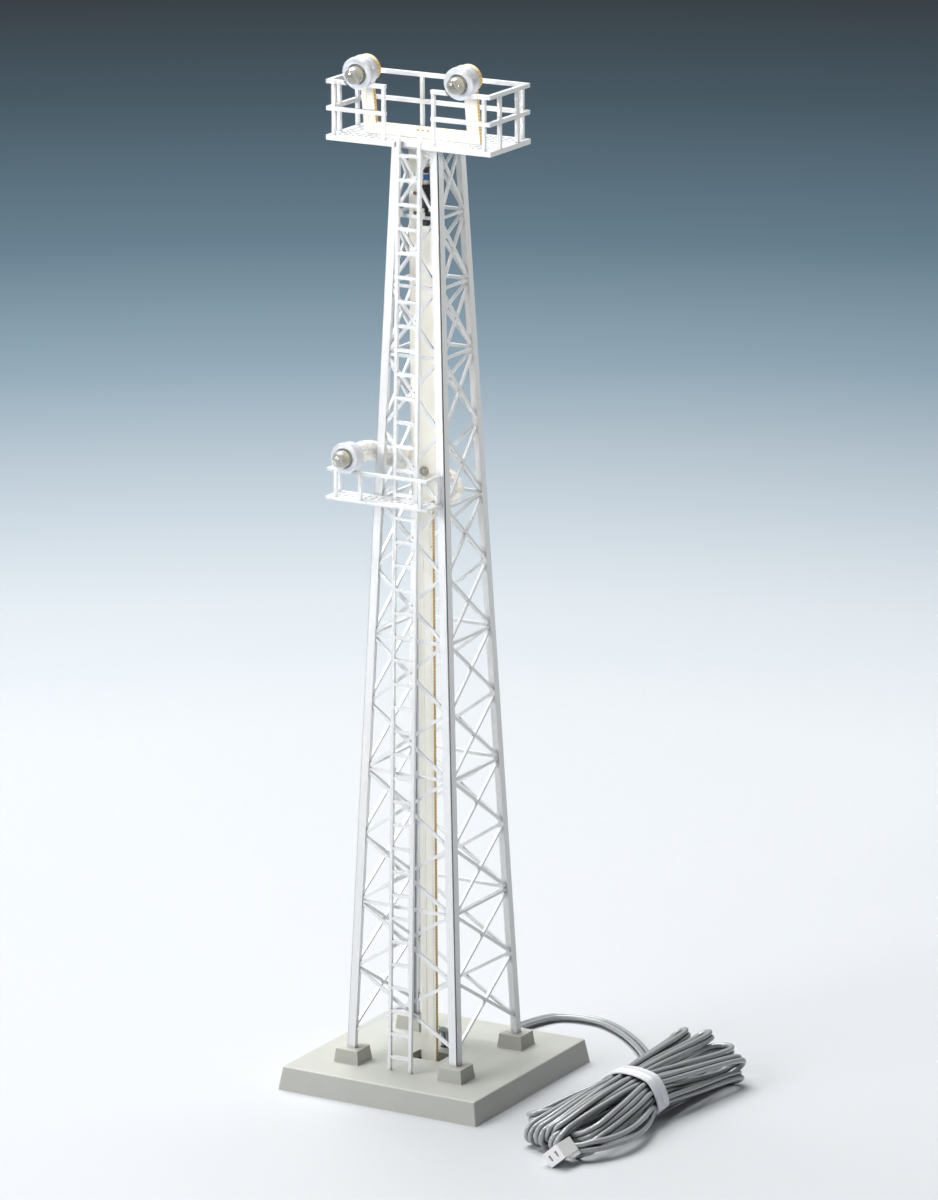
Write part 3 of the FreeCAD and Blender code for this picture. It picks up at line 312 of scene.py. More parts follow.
def painted_band(name, colour):
    """A thin coat of one colour, a little cloudy."""
    g = Graph(name)
    cloud = g.noise(0.4, 3)
    lighter = tuple(min(1.0, channel * 1.5 + 0.01) for channel in colour)
    return g.finish(Base_Color=g.mix(cloud, colour, lighter), Roughness=0.32, Normal=g.bump(cloud, 0.01, 0.4),
                    Coat_Weight=0.5, Coat_Roughness=0.12)


def led_epoxy():
    """Clear cast epoxy with a faint warm tint."""
    g = Graph("led_epoxy")
    ripple = g.noise(0.9, 2)
    return g.finish(Base_Color=g.mix(ripple, (0.94, 0.91, 0.80), (0.99, 0.975, 0.92)),
                    Roughness=0.02, IOR=1.50, Transmission_Weight=0.76,
                    Normal=g.bump(ripple, 0.02, 0.5), Coat_Weight=1.0, Coat_Roughness=0.02)


def led_phosphor():
    g = Graph("led_phosphor")
    grain = g.noise(0.12, 3)
    return g.finish(Base_Color=g.mix(grain, (0.78, 0.66, 0.34), (0.90, 0.84, 0.58)), Roughness=0.5,
                    Normal=g.bump(grain, 0.02, 0.6))


MATERIALS = {
    "silver_plastic": silver_plastic("silver_plastic"),
    "lamp_silver": lamp_silver(),
    "base_plastic": base_plastic(),
    "board_laminate": board_laminate(),
    "led_epoxy": led_epoxy(),
    "tinned_wire": tinned_wire(),
    "solder": solder(),
    "sleeve_tube": sleeve_tube(),
    "resistor_coat": resistor_coat(),
    "shrink_tube": shrink_tube(),
    # the cord's grooves get painted shade (shade=0.95)
    "cord_vinyl": vinyl("cord_vinyl", (0.315, 0.335, 0.342), (0.395, 0.415, 0.422), (0.56, 0.61, 0.64),
                        gloss=(0.24, 0.38), shade=0.95, coat=(1.0, 0.10)),
    "tie_vinyl": vinyl("tie_vinyl", (0.80, 0.83, 0.87), (0.88, 0.90, 0.94), (0.95, 0.96, 1.0),
                       gloss=(0.22, 0.36)),
    "plug_nylon": vinyl("plug_nylon", (0.90, 0.90, 0.89), (0.96, 0.96, 0.95), (0.99, 0.99, 0.99),
                        gloss=(0.24, 0.38)),
    "contact_tin": contact_tin(),
    "screw_steel": screw_steel(),
    "ballast_steel": ballast_steel(),
}
PHOSPHOR = led_phosphor()
# a darker copy of the silver moulding: painted shade for the deck treads
TREAD_SHADED_SILVER = silver_plastic("tread_silver_shaded", 0.55)
TRACE = trace_mask()
PAD_GOLD = painted_band("pad_gold", (0.50, 0.24, 0.04))
PAD_DULL = painted_band("pad_dull", (0.16, 0.11, 0.035))
EYELET = painted_band("eyelet", (0.42, 0.36, 0.26))
BAND_BLUE = painted_band("band_blue", (0.01, 0.10, 0.30))
BAND_DARK = painted_band("band_dark", (0.02, 0.02, 0.022))


# ---- finish of the carried-over nodes ----

# millimetres taken off the edges of each material's parts
EDGE_ROUND = {"silver_plastic": 0.07, "base_plastic": 0.26, "board_laminate": 0.03, "plug_nylon": 0.10,
              "tie_vinyl": 0.05, "lamp_silver": 0.05, "screw_steel": 0.06,
              "ballast_steel": 0.10, "contact_tin": 0.04, "tinned_wire": 0.05}


def dress_node(name, slot):
    """Give a node its material, merge its seams and soften its edges."""
    node = NODES[name]
    mesh = node.data
    mesh.materials.clear()
    mesh.materials.append(MATERIALS[slot])
    for polygon in mesh.polygons:
        polygon.material_index = 0
        polygon.use_smooth = True
    custom = mesh.attributes.get("custom_normal")
    if custom is not None:
        mesh.attributes.remove(custom)
    weld = node.modifiers.new("weld", "WELD")
    weld.merge_threshold = 1e-6
    flat = node.modifiers.new("flat", "DECIMATE")
    flat.decimate_type = "DISSOLVE"
    flat.angle_limit = math.radians(0.4)
    width = EDGE_ROUND.get(slot)
    if width:
        bevel = node.modifiers.new("bevel", "BEVEL")
        bevel.width = width * MM
        bevel.segments = 2
        bevel.limit_method = "ANGLE"
        bevel.angle_limit = math.radians(32)
        bevel.harden_normals = True
        bevel.use_clamp_overlap = True


for row in frame["record"]["subparts"]:
    dress_node(row["node"], row["material_slot"])


# ---- mesh pieces ----

def add_piece(name, verts, faces, slot, replaces=(), materials=None, indices=None, sharp=40):
    """A mesh piece in metres from points in millimetres, riding on the body."""
    mesh = bpy.data.meshes.new(name)
    mesh.from_pydata([Vector(point) * MM for point in verts], [], faces)
    for material in materials or [MATERIALS[slot]]:
        mesh.materials.append(material)
    if indices is not None:
        mesh.polygons.foreach_set("material_index", indices)
    work = bmesh.new()
    work.from_mesh(mesh)
    bmesh.ops.recalc_face_normals(work, faces=work.faces)
    work.to_mesh(mesh)
    work.free()
    mesh.shade_smooth()
    mesh.set_sharp_from_angle(angle=math.radians(sharp))
    piece = bpy.data.objects.new(name, mesh)
    bpy.context.scene.collection.objects.link(piece)
    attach(piece, "root")
    if replaces:
        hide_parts(*replaces)
    return piece


def bridge(rings, closed_way=False, first=0):
    """Faces between successive rings of the same count; open runs get end caps."""
    count = len(rings[0])
    faces = []
    last = len(rings) if closed_way else len(rings) - 1
    for ring in range(last):
        here = first + ring * count
        there = first + ((ring + 1) % len(rings)) * count
        for corner in range(count):
            turn = (corner + 1) % count
            faces.append((here + corner, here + turn, there + turn, there + corner))
    if not closed_way:
        faces.append(tuple(first + corner for corner in reversed(range(count))))
        end = first + (len(rings) - 1) * count
        faces.append(tuple(end + corner for corner in range(count)))
    return faces


def tube_rings(path, radius, sides=10, widths=None):
    """Rings along a path, carried without twist; widths scales the radius point by point."""
    path = np.asarray(path, float)
    along = np.gradient(path, axis=0)
    along /= np.linalg.norm(along, axis=1)[:, None]
    side = np.cross(along[0], (0.12, 0.21, 0.97))
    side /= np.linalg.norm(side)
    rings = []
    for index, (point, heading) in enumerate(zip(path, along)):
        side = side - heading * np.dot(side, heading)
        side /= np.linalg.norm(side)
        other = np.cross(heading, side)
        reach = radius * (1.0 if widths is None else widths[index])
        rings.append([point + reach * (math.cos(a) * side + math.sin(a) * other)
                      for a in np.linspace(0, 2 * math.pi, sides, endpoint=False)])
    return rings


def circle(radius, sides, centre=(0.0, 0.0)):
    """Points round a circle, from its first axis towards its second."""
    return [(centre[0] + radius * math.cos(a), centre[1] + radius * math.sin(a))
            for a in np.linspace(0, 2 * math.pi, sides, endpoint=False)]


def revolve(profile, steps=96):
    """Rings of a closed (radius, height) profile turned about Z."""
    rings = []
    for step in range(steps):
        a = 2 * math.pi * step / steps
        rings.append([(r * math.cos(a), r * math.sin(a), z) for r, z in profile])
    return rings


def rounded(corners, radius, steps=4):
    """A closed outline with each corner taken off by a short arc."""
    corners = [np.array(corner, float) for corner in corners]
    out = []
    for index, corner in enumerate(corners):
        back = corners[index - 1] - corner
        ahead = corners[(index + 1) % len(corners)] - corner
        room = min(np.linalg.norm(back), np.linalg.norm(ahead)) * 0.45
        cut = min(radius, room)
        start = corner + back / np.linalg.norm(back) * cut
        end = corner + ahead / np.linalg.norm(ahead) * cut
        for step in range(steps + 1):
            t = step / steps
            out.append(tuple((1 - t) ** 2 * start + 2 * t * (1 - t) * corner + t ** 2 * end))
    return out


class Shapes:
    """Collects closed shapes, each with a material index, into one piece."""

    def __init__(self):
        self.verts, self.faces, self.indices = [], [], []

    def add(self, rings, closed_way=False, material=0, place=None):
        faces = bridge(rings, closed_way, len(self.verts))
        points = [Vector(point) for ring in rings for point in ring]
        self.verts += [place @ point for point in points] if place is not None else points
        self.faces += faces
        self.indices += [material] * len(faces)

    def piece(self, name, slot, replaces=(), materials=None, sharp=40):
        return add_piece(name, self.verts, self.faces, slot, replaces, materials, self.indices, sharp)


# ---- wound cord ----

CORE = 0.48                 # radius of one core
STEP = 0.8                  # length of cord between two points while it settles
FINE_STEP = 0.42            # the same once it has settled
TIE_Y = -3.0                # place of the tie along the bundle
BUNDLE_CENTRE = np.array([41.2, TIE_Y, 4.45])
BUNDLE_HALF = np.array([5.25, 1.0, 3.95])
# the way of the flat cord from inside the base to the bundle
CORD_RUN = [(0, -0.45, 6.8), (0, 0.5, 8.2), (0, 3.5, 7.0), (0, 4.0, 4.0), (0, 5.1, 2.1), (0, 8, 1.53),
            (0, 18, 1.53), (0.3, 24, 1.1), (4.0, 36.0, 0.9), (11.5, 37.6, 0.9), (20.0, 33.2, 0.9),
            (27.5, 26.0, 1.2), (32.0, 19.5, 1.8), (35.5, 12.0, 2.6)]
# the index in CORD_RUN up to which the cord lies as laid
RUN_END = 10
# For each turn: near tip, its opening, the slot in the waist on the way out (angle, reach), then far tip, its
# opening and the slot on the way back.
TURNS = [
    ((31.0, -20.3, 3.9), (2.8, 0, 1.0), (150, 1.0), (35.4, 26.4, 6.3), (1.8, 0, 0.9), (126, 1.0)),
    ((32.8, -24.8, 2.4), (0.6, 0, 3.4), (-160, 1.0), (36.2, 24.8, 2.0), (2.0, 0, 1.6), (-136, 1.0)),
    ((35.4, -25.8, 2.6), (0.8, 0, 3.4), (106, 1.0), (39.8, 27.4, 6.3), (2.2, 0, 0.9), (88, 1.0)),
    ((37.4, -25.4, 3.0), (1.2, 0, 3.2), (92, 0.5), (44.2, 25.6, 5.0), (4.6, 0, 0.6), (66, 1.0)),
    ((38.4, -26.2, 2.3), (0.8, 0, 3.2), (-104, 1.0), (42.2, 25.8, 1.5), (3.2, 0, 1.3), (-76, 1.0)),
    ((42.4, -22.6, 3.2), (4.8, 0, 2.4), (44, 1.0), (48.6, 23.0, 3.6), (2.0, 0, 2.8), (22, 1.0)),
    ((44.2, -26.0, 1.6), (3.4, 0, 1.8), (-44, 1.0), (48.6, 22.2, 1.4), (2.8, 0, 1.4), (-12, 1.0)),
]
# the two cores from the last turn to the plug: side of the flat cord, bends, end in the plug
TAILS = [
    (-1, [(47.0, -7.0, 3.9), (48.2, -13.5, 3.6), (47.9, -20.0, 3.4), (45.6, -25.0, 3.2)],
     (42.36, -26.9, 2.70)),
    (1, [(47.6, -7.5, 2.7), (49.0, -14.0, 2.3), (48.6, -20.6, 2.3), (45.2, -25.7, 2.1)],
     (41.24, -26.9, 1.70)),
]
TAIL_POINTS = 38
# how the cord settles
ROUNDS = 260
PAIR_ROUNDS = 8             # rounds between two searches for strands that are close
PAIR_REACH_SQUARED = 2.7
SAME_STRAND = 3             # points this near along the cord don't push each other
TOUCHING = 2.08 * CORE
BEND_LIMITS = ((2, 2.35), (3, 2.75))    # points either way, least distance between the two
TIE_GRIP = 1.7
SMOOTHING = 0.06


def even_path(points, step):
    """A smooth curve through the points, cut into even steps (centripetal Catmull-Rom)."""
    p = np.array(points, float)
    p = np.vstack([2 * p[0] - p[1], p, 2 * p[-1] - p[-2]])
    out = []
    for i in range(1, len(p) - 2):
        p0, p1, p2, p3 = p[i - 1:i + 3]
        t1 = np.linalg.norm(p1 - p0) ** 0.5
        t2 = t1 + np.linalg.norm(p2 - p1) ** 0.5
        t3 = t2 + np.linalg.norm(p3 - p2) ** 0.5
        t = np.linspace(t1, t2, 24, endpoint=False)[:, None]
        a1 = (t1 - t) / t1 * p0 + t / t1 * p1
        a2 = (t2 - t) / (t2 - t1) * p1 + (t - t1) / (t2 - t1) * p2
        a3 = (t3 - t) / (t3 - t2) * p2 + (t - t2) / (t3 - t2) * p3
        b1 = (t2 - t) / t2 * a1 + t / t2 * a2
        b2 = (t3 - t) / (t3 - t1) * a2 + (t - t1) / (t3 - t1) * a3
        out.append((t2 - t) / (t2 - t1) * b1 + (t - t1) / (t2 - t1) * b2)
    out = np.vstack(out + [p[-2:-1]])
    return even_steps(out, max(2, round(path_length(out)[-1] / step) + 1))


def path_length(path):
    """Distance along a path at each of its points."""
    return np.r_[0, np.cumsum(np.linalg.norm(np.diff(path, axis=0), axis=1))]


def even_steps(path, count):
    """The path again, as count points at even distances."""
    run = path_length(path)
    places = np.linspace(0, run[-1], count)
    return np.stack([np.interp(places, run, path[:, axis]) for axis in range(3)], 1)


def waist_slot(angle, reach):
    """A place for the cord inside the tie."""
    a = math.radians(angle)
    return BUNDLE_CENTRE + np.array([math.cos(a) * 4.7, 0, math.sin(a) * 3.4]) * reach


def loop_knots(start, tip, opening, end, draw_in):
    """Knots from one waist slot out to a loop's tip and back to the next slot."""
    tip = np.array(tip)
    half = np.array(opening) / 2
    if np.dot(start - end, half) < 0:
        half = -half
    inward = BUNDLE_CENTRE - tip
    return [start + (tip - start) * 0.34 + half * 0.6, tip + half * 1.1 + inward * draw_in,
            tip + half * 0.75 + inward * 0.03, tip - half * 0.75 + inward * 0.03,
            tip - half * 1.1 + inward * draw_in, end + (tip - end) * 0.34 - half * 0.6, end]


def cord_route():
    """Knots of the whole flat cord, before it settles."""
    knots = [np.array(point, float) for point in CORD_RUN] + [waist_slot(-150, 0.6)]
    for near, near_open, slot_out, far, far_open, slot_back in TURNS:
        knots += loop_knots(knots[-1], near, near_open, waist_slot(*slot_out), 0.13)
        knots += loop_knots(knots[-1], far, far_open, waist_slot(*slot_back), 0.11)
    return knots


def wide_axes(path, level_until):
    """The flat cord's wide direction: level on the run, flat in the waist, across each bend's plane."""
    along = np.gradient(path, axis=0)
    along /= np.linalg.norm(along, axis=1)[:, None]
    wanted = np.cross(along, np.gradient(along, axis=0))
    weight = np.where(np.linalg.norm(wanted, axis=1) > 0.12, 0.5, 0.0)
    outward = (path - BUNDLE_CENTRE) / BUNDLE_HALF ** 2
    outward[:, 1] = 0
    waist = np.abs(path[:, 1] - TIE_Y) < 5
    wanted[waist] = np.cross(along, outward)[waist]
    weight[waist] = 0.5
    wanted[:level_until] = np.cross(along, (0, 0, 1.0))[:level_until]
    weight[:level_until] = 0.5
    last = np.array([1.0, 0, 0])
    for index in range(len(path)):
        if weight[index] > 0:
            wanted[index] *= math.copysign(1, np.dot(wanted[index], last)) / np.linalg.norm(wanted[index])
            last = wanted[index]
        else:
            wanted[index] = last
    axes = wanted.copy()
    for _ in range(250):
        axes[1:-1] = weight[1:-1, None] * wanted[1:-1] + (1 - weight[1:-1, None]) * (axes[:-2] + axes[2:]) / 2
        axes -= (axes * along).sum(1)[:, None] * along
        axes /= np.linalg.norm(axes, axis=1)[:, None] + 1e-9
    return axes


def close_pairs(points, ids):
    """Pairs of cord points near each other but not neighbours on the cord."""
    flat = points.astype(np.float32)
    square = (flat ** 2).sum(1)
    firsts, seconds = [], []
    for start in range(0, len(flat), 512):
        gap = square[start:start + 512, None] + square[None] - 2 * flat[start:start + 512] @ flat.T
        first, second = np.where(gap < PAIR_REACH_SQUARED)
        first = first + start
        keep = (first < second) & (np.abs(ids[first] - ids[second]) > SAME_STRAND)
        firsts.append(first[keep])
        seconds.append(second[keep])
    return np.concatenate(firsts), np.concatenate(seconds)


def lay_cores(twin, axes):
    """The two cores of the flat cord side by side, each with its own tail to the plug."""
    sides = []
    for sign, bends, rear in TAILS:
        core = twin + axes * CORE * sign
        tail = even_steps(even_path([core[-1], *bends, rear], STEP), TAIL_POINTS)[1:]
        sides.append(np.vstack([core, tail]))
    return np.stack(sides)


def push_apart(flat, first, second):
    """Move strands that press into each other apart, in place."""
    apart = flat[first] - flat[second]
    distance = np.linalg.norm(apart, axis=1) + 1e-9
    overlap = TOUCHING - distance
    hit = overlap > 0
    if not hit.any():
        return
    push = (0.45 * overlap[hit] / distance[hit])[:, None] * apart[hit]
    shift = np.zeros_like(flat)
    touches = np.zeros(len(flat))
    np.add.at(shift, first[hit], push)
    np.add.at(shift, second[hit], -push)
    np.add.at(touches, first[hit], 1)
    np.add.at(touches, second[hit], 1)
    flat += shift / np.maximum(1, touches * 0.6)[:, None]


def squeeze_into_tie(cord):
    """Draw the strands at the waist into the tie's oval, in place."""
    offset = (cord - BUNDLE_CENTRE) / BUNDLE_HALF
    offset[:, :, 1] = 0
    reach = np.linalg.norm(offset, axis=2)
    gripped = (np.abs(cord[:, :, 1] - TIE_Y) < TIE_GRIP) & (reach > 1)
    squeeze = np.where(gripped, 1 / np.maximum(reach, 1e-6), 1)
    for axis in (0, 2):
        cord[:, :, axis] = BUNDLE_CENTRE[axis] + (cord[:, :, axis] - BUNDLE_CENTRE[axis]) * squeeze


def reach_over(low, high, length, strength, only_short=False):
    """Move two runs of points towards a wanted distance from each other, in place."""
    apart = high - low
    distance = np.linalg.norm(apart, axis=2, keepdims=True) + 1e-9
    error = distance - length
    if only_short:
        error = np.minimum(error, 0)
    move = apart * (0.5 * strength * error / distance)
    low += move
    high -= move


def keep_length(cord, rest):
    """Bring the steps along both cores back to their lengths, in place."""
    for start in (0, 1):
        first_run, second_run = cord[:, start:-1:2], cord[:, start + 1::2]
        same = min(first_run.shape[1], second_run.shape[1])
        reach_over(first_run[:, :same], second_run[:, :same], rest[:, start::2][:, :same, None], 1.0)


def settle_cord():
    """Two joined cores laid out in loops, then relaxed so that they touch, bend and rest like cord."""
    twin = even_path(cord_route(), STEP)
    fixed = int(np.argmin(np.linalg.norm(twin[:200] - np.array(CORD_RUN[RUN_END]), axis=1)))
    cord = lay_cores(twin, wide_axes(twin, fixed + 10))
    count, joined = cord.shape[1], len(twin)
    rest = np.linalg.norm(np.diff(cord, axis=1), axis=2)
    rest[:, :joined - 1] = np.diff(path_length(twin))
    pinned = np.zeros(count, bool)
    pinned[:fixed] = True
    pinned[-4:] = True
    home = cord[:, pinned].copy()
    ids = np.tile(np.arange(count), 2)
    flat = cord.reshape(-1, 3)
    for turn in range(ROUNDS):
        if turn % PAIR_ROUNDS == 0:
            first, second = close_pairs(flat, ids)
        push_apart(flat, first, second)
        cord[:, :, 2] = np.maximum(cord[:, :, 2], CORE + 0.02)
        squeeze_into_tie(cord)
        cord[:, 1:-1] += ((cord[:, :-2] + cord[:, 2:]) / 2 - cord[:, 1:-1]) * SMOOTHING
        for span, least in BEND_LIMITS:
            reach_over(cord[:, :-2 * span], cord[:, 2 * span:], least, 0.25, only_short=True)
        for _ in range(3):
            keep_length(cord, rest)
        reach_over(cord[:1, :joined], cord[1:, :joined], 2 * CORE, 1.0)
        cord[:, pinned] = home
    return cord, fixed, joined


def make_cord():
    """The cord as three pieces: the run to the bundle, the wound turns, and the cores into the plug."""
    cord, fixed, joined = settle_cord()
    run = Shapes()
    wound = Shapes()
    tails = Shapes()
    split = joined + 22
    for core in cord:
        run.add(tube_rings(even_path(core[:fixed], 0.45), CORE))
        wound.add(tube_rings(even_path(core[fixed - 1:split + 1], FINE_STEP), CORE))
        inside = core[-1] + np.array([0, -0.5, 0])
        tails.add(tube_rings(even_path(np.vstack([core[split:], inside]), FINE_STEP), CORE))
    run.piece("cord_run", "cord_vinyl", ["power_cord"])
    wound.piece("cord_wound", "cord_vinyl", ["cord_bundle"])
    tails.piece("cord_tails", "cord_vinyl", ["plug_leads"])
    return cord


def make_tie(cord):
    """A ribbed vinyl band drawn tight round the strands at the waist."""
    half_width = 1.9
    step = 4
    near = cord.reshape(-1, 3)
    near = near[np.abs(near[:, 1] - TIE_Y) < half_width + 0.3]
    angles = np.radians(np.arange(0, 360, step))
    rays = np.stack([np.cos(angles), np.sin(angles)], 1)
    flat = near[:, [0, 2]] - BUNDLE_CENTRE[[0, 2]]
    support = (flat @ rays.T).max(0) + CORE + 0.04
    for _ in range(6):
        support = (np.roll(support, 1) + 2 * support + np.roll(support, -1)) / 4
    slope = (np.roll(support, -1) - np.roll(support, 1)) / (2 * math.radians(step))
    half = [(1.86, 0.0), (half_width, 0.14), (1.84, 0.30), (1.62, 0.36), (1.30, 0.31), (0.52, 0.29),
            (0.30, 0.40)]
    profile = [(-along, high) for along, high in half] + [(0.0, 0.44)] + half[::-1]
    rings = []
    for ray, reach, turn in zip(rays, support, slope):
        across = np.array([-ray[1], ray[0]])
        point = ray * reach + across * turn
        ring = []
        for along, high in profile:
            outer = point + ray * high
            ring.append((BUNDLE_CENTRE[0] + outer[0], TIE_Y + along, max(0.04, BUNDLE_CENTRE[2] + outer[1])))
        rings.append(ring)
    band = Shapes()
    band.add(rings, closed_way=True)
    band.piece("tie_band", "tie_vinyl", ["cord_tie"])


make_tie(make_cord())


# ---- lamps ----

# The places and sizes are those of the nodes that the pieces replace.
DECK_TOP = 167.0
HEAD_LEAN = 7.8
HEAD_CENTRE = 9.9
HEAD_RISE = 11.5
HEAD_TILT = Matrix.Translation((0, -1.6, DECK_TOP)) @ Matrix.Rotation(math.radians(HEAD_LEAN), 4, "X")
FORWARD = Matrix.Rotation(math.radians(90), 4, "X")
MID_LAMP = (-8.55, -11.55, 113.2)
LAMP_FRAMES = {
    "left": HEAD_TILT @ Matrix.Translation((-HEAD_CENTRE, -0.75, HEAD_RISE)) @ FORWARD,
    "right": HEAD_TILT @ Matrix.Translation((HEAD_CENTRE, -0.75, HEAD_RISE)) @ FORWARD,
    "mid": Matrix.Translation(MID_LAMP) @ FORWARD,
}
MID_TRIM = 0.2              # the lower housing is this much slimmer
RIM_RADIUS = 2.83
STEP_RADIUS = 2.7
GROOVE_RADIUS = 2.4
NECK_RADIUS = 2.3
BORE_RADIUS = 1.74
SEAT_RADIUS = 1.89
LED_RADIUS = 1.5
FLANGE_RADIUS = 1.85
LED_TIP = 5.29


def housing_outline(trim):
    """Half the section of a stepped housing: bore, neck, rear step, groove and front rim."""
    step = STEP_RADIUS - trim
    groove = GROOVE_RADIUS - trim
    rim = RIM_RADIUS - trim
    return [(SEAT_RADIUS, 0.0), (NECK_RADIUS, 0.0), (NECK_RADIUS, 0.3), (step, 0.3), (step, 1.64),
            (groove, 1.64), (groove, 1.90), (rim, 1.90), (rim, 2.85), (BORE_RADIUS, 2.85), (BORE_RADIUS, 0.8),
            (SEAT_RADIUS, 0.8)]


def led_outline():
    """Half the section of an LED: flange, straight side and dome."""
    flange = [(0.001, 0.06), (1.75, 0.06), (FLANGE_RADIUS, 0.16), (FLANGE_RADIUS, 0.6), (1.75, 0.7),
              (LED_RADIUS, 0.7)]
    seat = LED_TIP - LED_RADIUS
    dome = [(LED_RADIUS * math.cos(a), seat + LED_RADIUS * math.sin(a)) for a in np.linspace(0, 1.5, 20)]
    return flange + dome + [(0.001, LED_TIP)]


def make_lamp(name):
    """A stepped housing, its clear LED, and the cup, die and posts inside the LED."""
    place = LAMP_FRAMES[name]
    trim = MID_TRIM if name == "mid" else 0.0
    housing = Shapes()
    housing.add(revolve(rounded(housing_outline(trim), 0.14)), True, place=place)
    housing.piece("lamp_" + name, "lamp_silver", ["lamp_housing_" + name])
    lens = Shapes()
    lens.add(revolve(led_outline(), 64), True, place=place)
    lens.piece("led_lens_" + name, "led_epoxy", ["led_" + name])
    core = Shapes()
    cup = [(0.05, 2.10), (0.46, 2.10), (0.82, 2.76), (0.70, 2.76), (0.42, 2.32), (0.05, 2.32)]
    die = [(0.02, 2.34), (0.40, 2.34), (0.56, 2.60), (0.02, 2.66)]
    core.add(revolve(rounded(cup, 0.05), 40), True, material=1, place=place)
    core.add(revolve(rounded(die, 0.05), 32), True, place=place)
    thick = 0.16
    for x, wide, high in ((0.86, 0.22, 2.5), (-0.35, 0.42, 2.08)):
        post = [(x - wide, -thick), (x + wide, -thick), (x + wide, thick), (x - wide, thick)]
        core.add([[(px, py, z) for px, py in post] for z in (0.12, high)], material=1, place=place)
    core.piece("led_core_" + name, "led_epoxy", (), [PHOSPHOR, MATERIALS["tinned_wire"]])


for lamp_name in LAMP_FRAMES:
    make_lamp(lamp_name)


# ---- details on the board ----

def slab(low, high, rounding=0.0):
    """Rings of a block between two corners, as an outline in XZ carried along Y."""
    (x0, y0, z0), (x1, y1, z1) = low, high
    outline = [(x0, z0), (x1, z0), (x1, z1), (x0, z1)]
    if rounding:
        outline = rounded(outline, rounding, 3)
    return [[(x, y, z) for x, z in outline] for y in (y0, y1)]


def disc(x, z, radius, y0, y1, shrink=0.0):
    """Rings of a flat disc that faces along Y, its far side smaller by shrink."""
    rings = []
    for y, inset in ((y0, 0), (y1, shrink)):
        rings.append([(px, y, pz) for px, pz in circle(radius - inset, 24, (x, z))])
    return rings


FRONT_FACE = -2.0           # of the board's strip
REAR_FACE = -1.2
RAISED = FRONT_FACE - 0.08  # outer face of the copper runs under the mask
SINK = 0.02
BEAD_HEIGHT = 109.4


def make_board_runs():
    """Copper runs that show as low ridges under the mask, up the strip and round the lamp arms."""
    runs = Shapes()
    front = (RAISED, FRONT_FACE + SINK, 150.6)
    rear = (REAR_FACE - SINK, REAR_FACE + 0.05, 164.5)
    for outer, inner, top in (front, rear):
        for x in (-0.72, 0.72):
            runs.add(slab((x - 0.42, outer, 7.5), (x + 0.42, inner, 103.6), 0.15))
        for x in (-1.35, 1.35):
            runs.add(slab((x - 0.9, outer, 106.0), (x + 0.9, inner, top), 0.2))
    for outer, inner in ((-0.48, -0.39), (0.39, 0.48)):
        runs.add(slab((-10.9, outer, 0.55), (10.9, inner, 1.05), 0.15), place=HEAD_TILT)
        for x, low in ((-10.72, 0.8), (-9.55, 1.3), (9.55, 1.3), (10.72, 0.8)):
            runs.add(slab((x - 0.38, outer, low), (x + 0.38, inner, 8.3), 0.15), place=HEAD_TILT)
    runs.piece("board_runs", "board_laminate", (), [TRACE])


def make_board_pads():
    """Gold pads on the cross bar and dots on the strip, dull pads for leads, and one black disc as painted
    shade for a hole.
    """
    pads = Shapes()
    for x in (-0.67, 0.3, 1.28):
        pads.add(slab((x - 0.22, -0.43, 1.35), (x + 0.22, -0.38, 1.68), 0.08), place=HEAD_TILT)
    for x, z in ((1.05, 96.6), (1.25, 96.15), (1.05, 95.7)):
        pads.add(disc(x, z, 0.14, FRONT_FACE + SINK, FRONT_FACE - 0.03))
    for z in (157.5, 154.1):
        pads.add(disc(-1.45, z, 0.34, RAISED + SINK, RAISED - 0.06, shrink=0.04), material=1)
    pads.piece("board_pads", "contact_tin", (), [PAD_GOLD, PAD_DULL])
    # painted shade: a black disc on the face stands for the shade inside a hole
    via = Shapes()
    via.add(disc(0.3, 107.0, 0.22, FRONT_FACE + SINK, FRONT_FACE - SINK))
    via.piece("board_via_shade", "shrink_tube")


def solder_bead(joints, centre, radius, height, forwards):
    """Adds a domed joint with a thin flare round its foot."""
    bead = [(radius * math.cos(a) ** 1.4, height * math.sin(a)) for a in np.linspace(0, math.pi / 2, 9)[:-1]]
    flare = [(radius * 1.12, -0.03), (radius * 1.12, 0.03)]
    outline = [(0.001, -0.03)] + flare + bead + [(0.001, height)]
    turn = Matrix.Rotation(math.radians(90 if forwards else -90), 4, "X")
    joints.add(revolve(outline, 32), True, place=Matrix.Translation(centre) @ turn)


def make_solder():
    """The large joint beside the side platform with its ring, the cord's joints and the lamps'."""
    joints = Shapes()
    solder_bead(joints, (0, RAISED, BEAD_HEIGHT), 0.56, 0.42, True)
    for side in (-1, 1):
        solder_bead(joints, (0.55 * side, REAR_FACE, 6.3), 0.47, 0.42, False)
        for lead in (-0.8, 0.8):
            centre = HEAD_TILT @ Vector((HEAD_CENTRE * side + lead, 0.4, HEAD_RISE))
            solder_bead(joints, centre, 0.55, 0.45, False)
    joints.piece("solder_beads", "solder", ["solder_joints"])
    ring = Shapes()
    eyelet = rounded([(0.60, -0.02), (0.95, -0.02), (0.90, 0.26), (0.66, 0.26)], 0.08)
    ring.add(revolve(eyelet, 48), True, place=Matrix.Translation((0, RAISED, BEAD_HEIGHT)) @ FORWARD)
    ring.piece("solder_ring", "resistor_coat", (), [EYELET])


PARTS_X = 1.2               # the line on which the two small parts stand


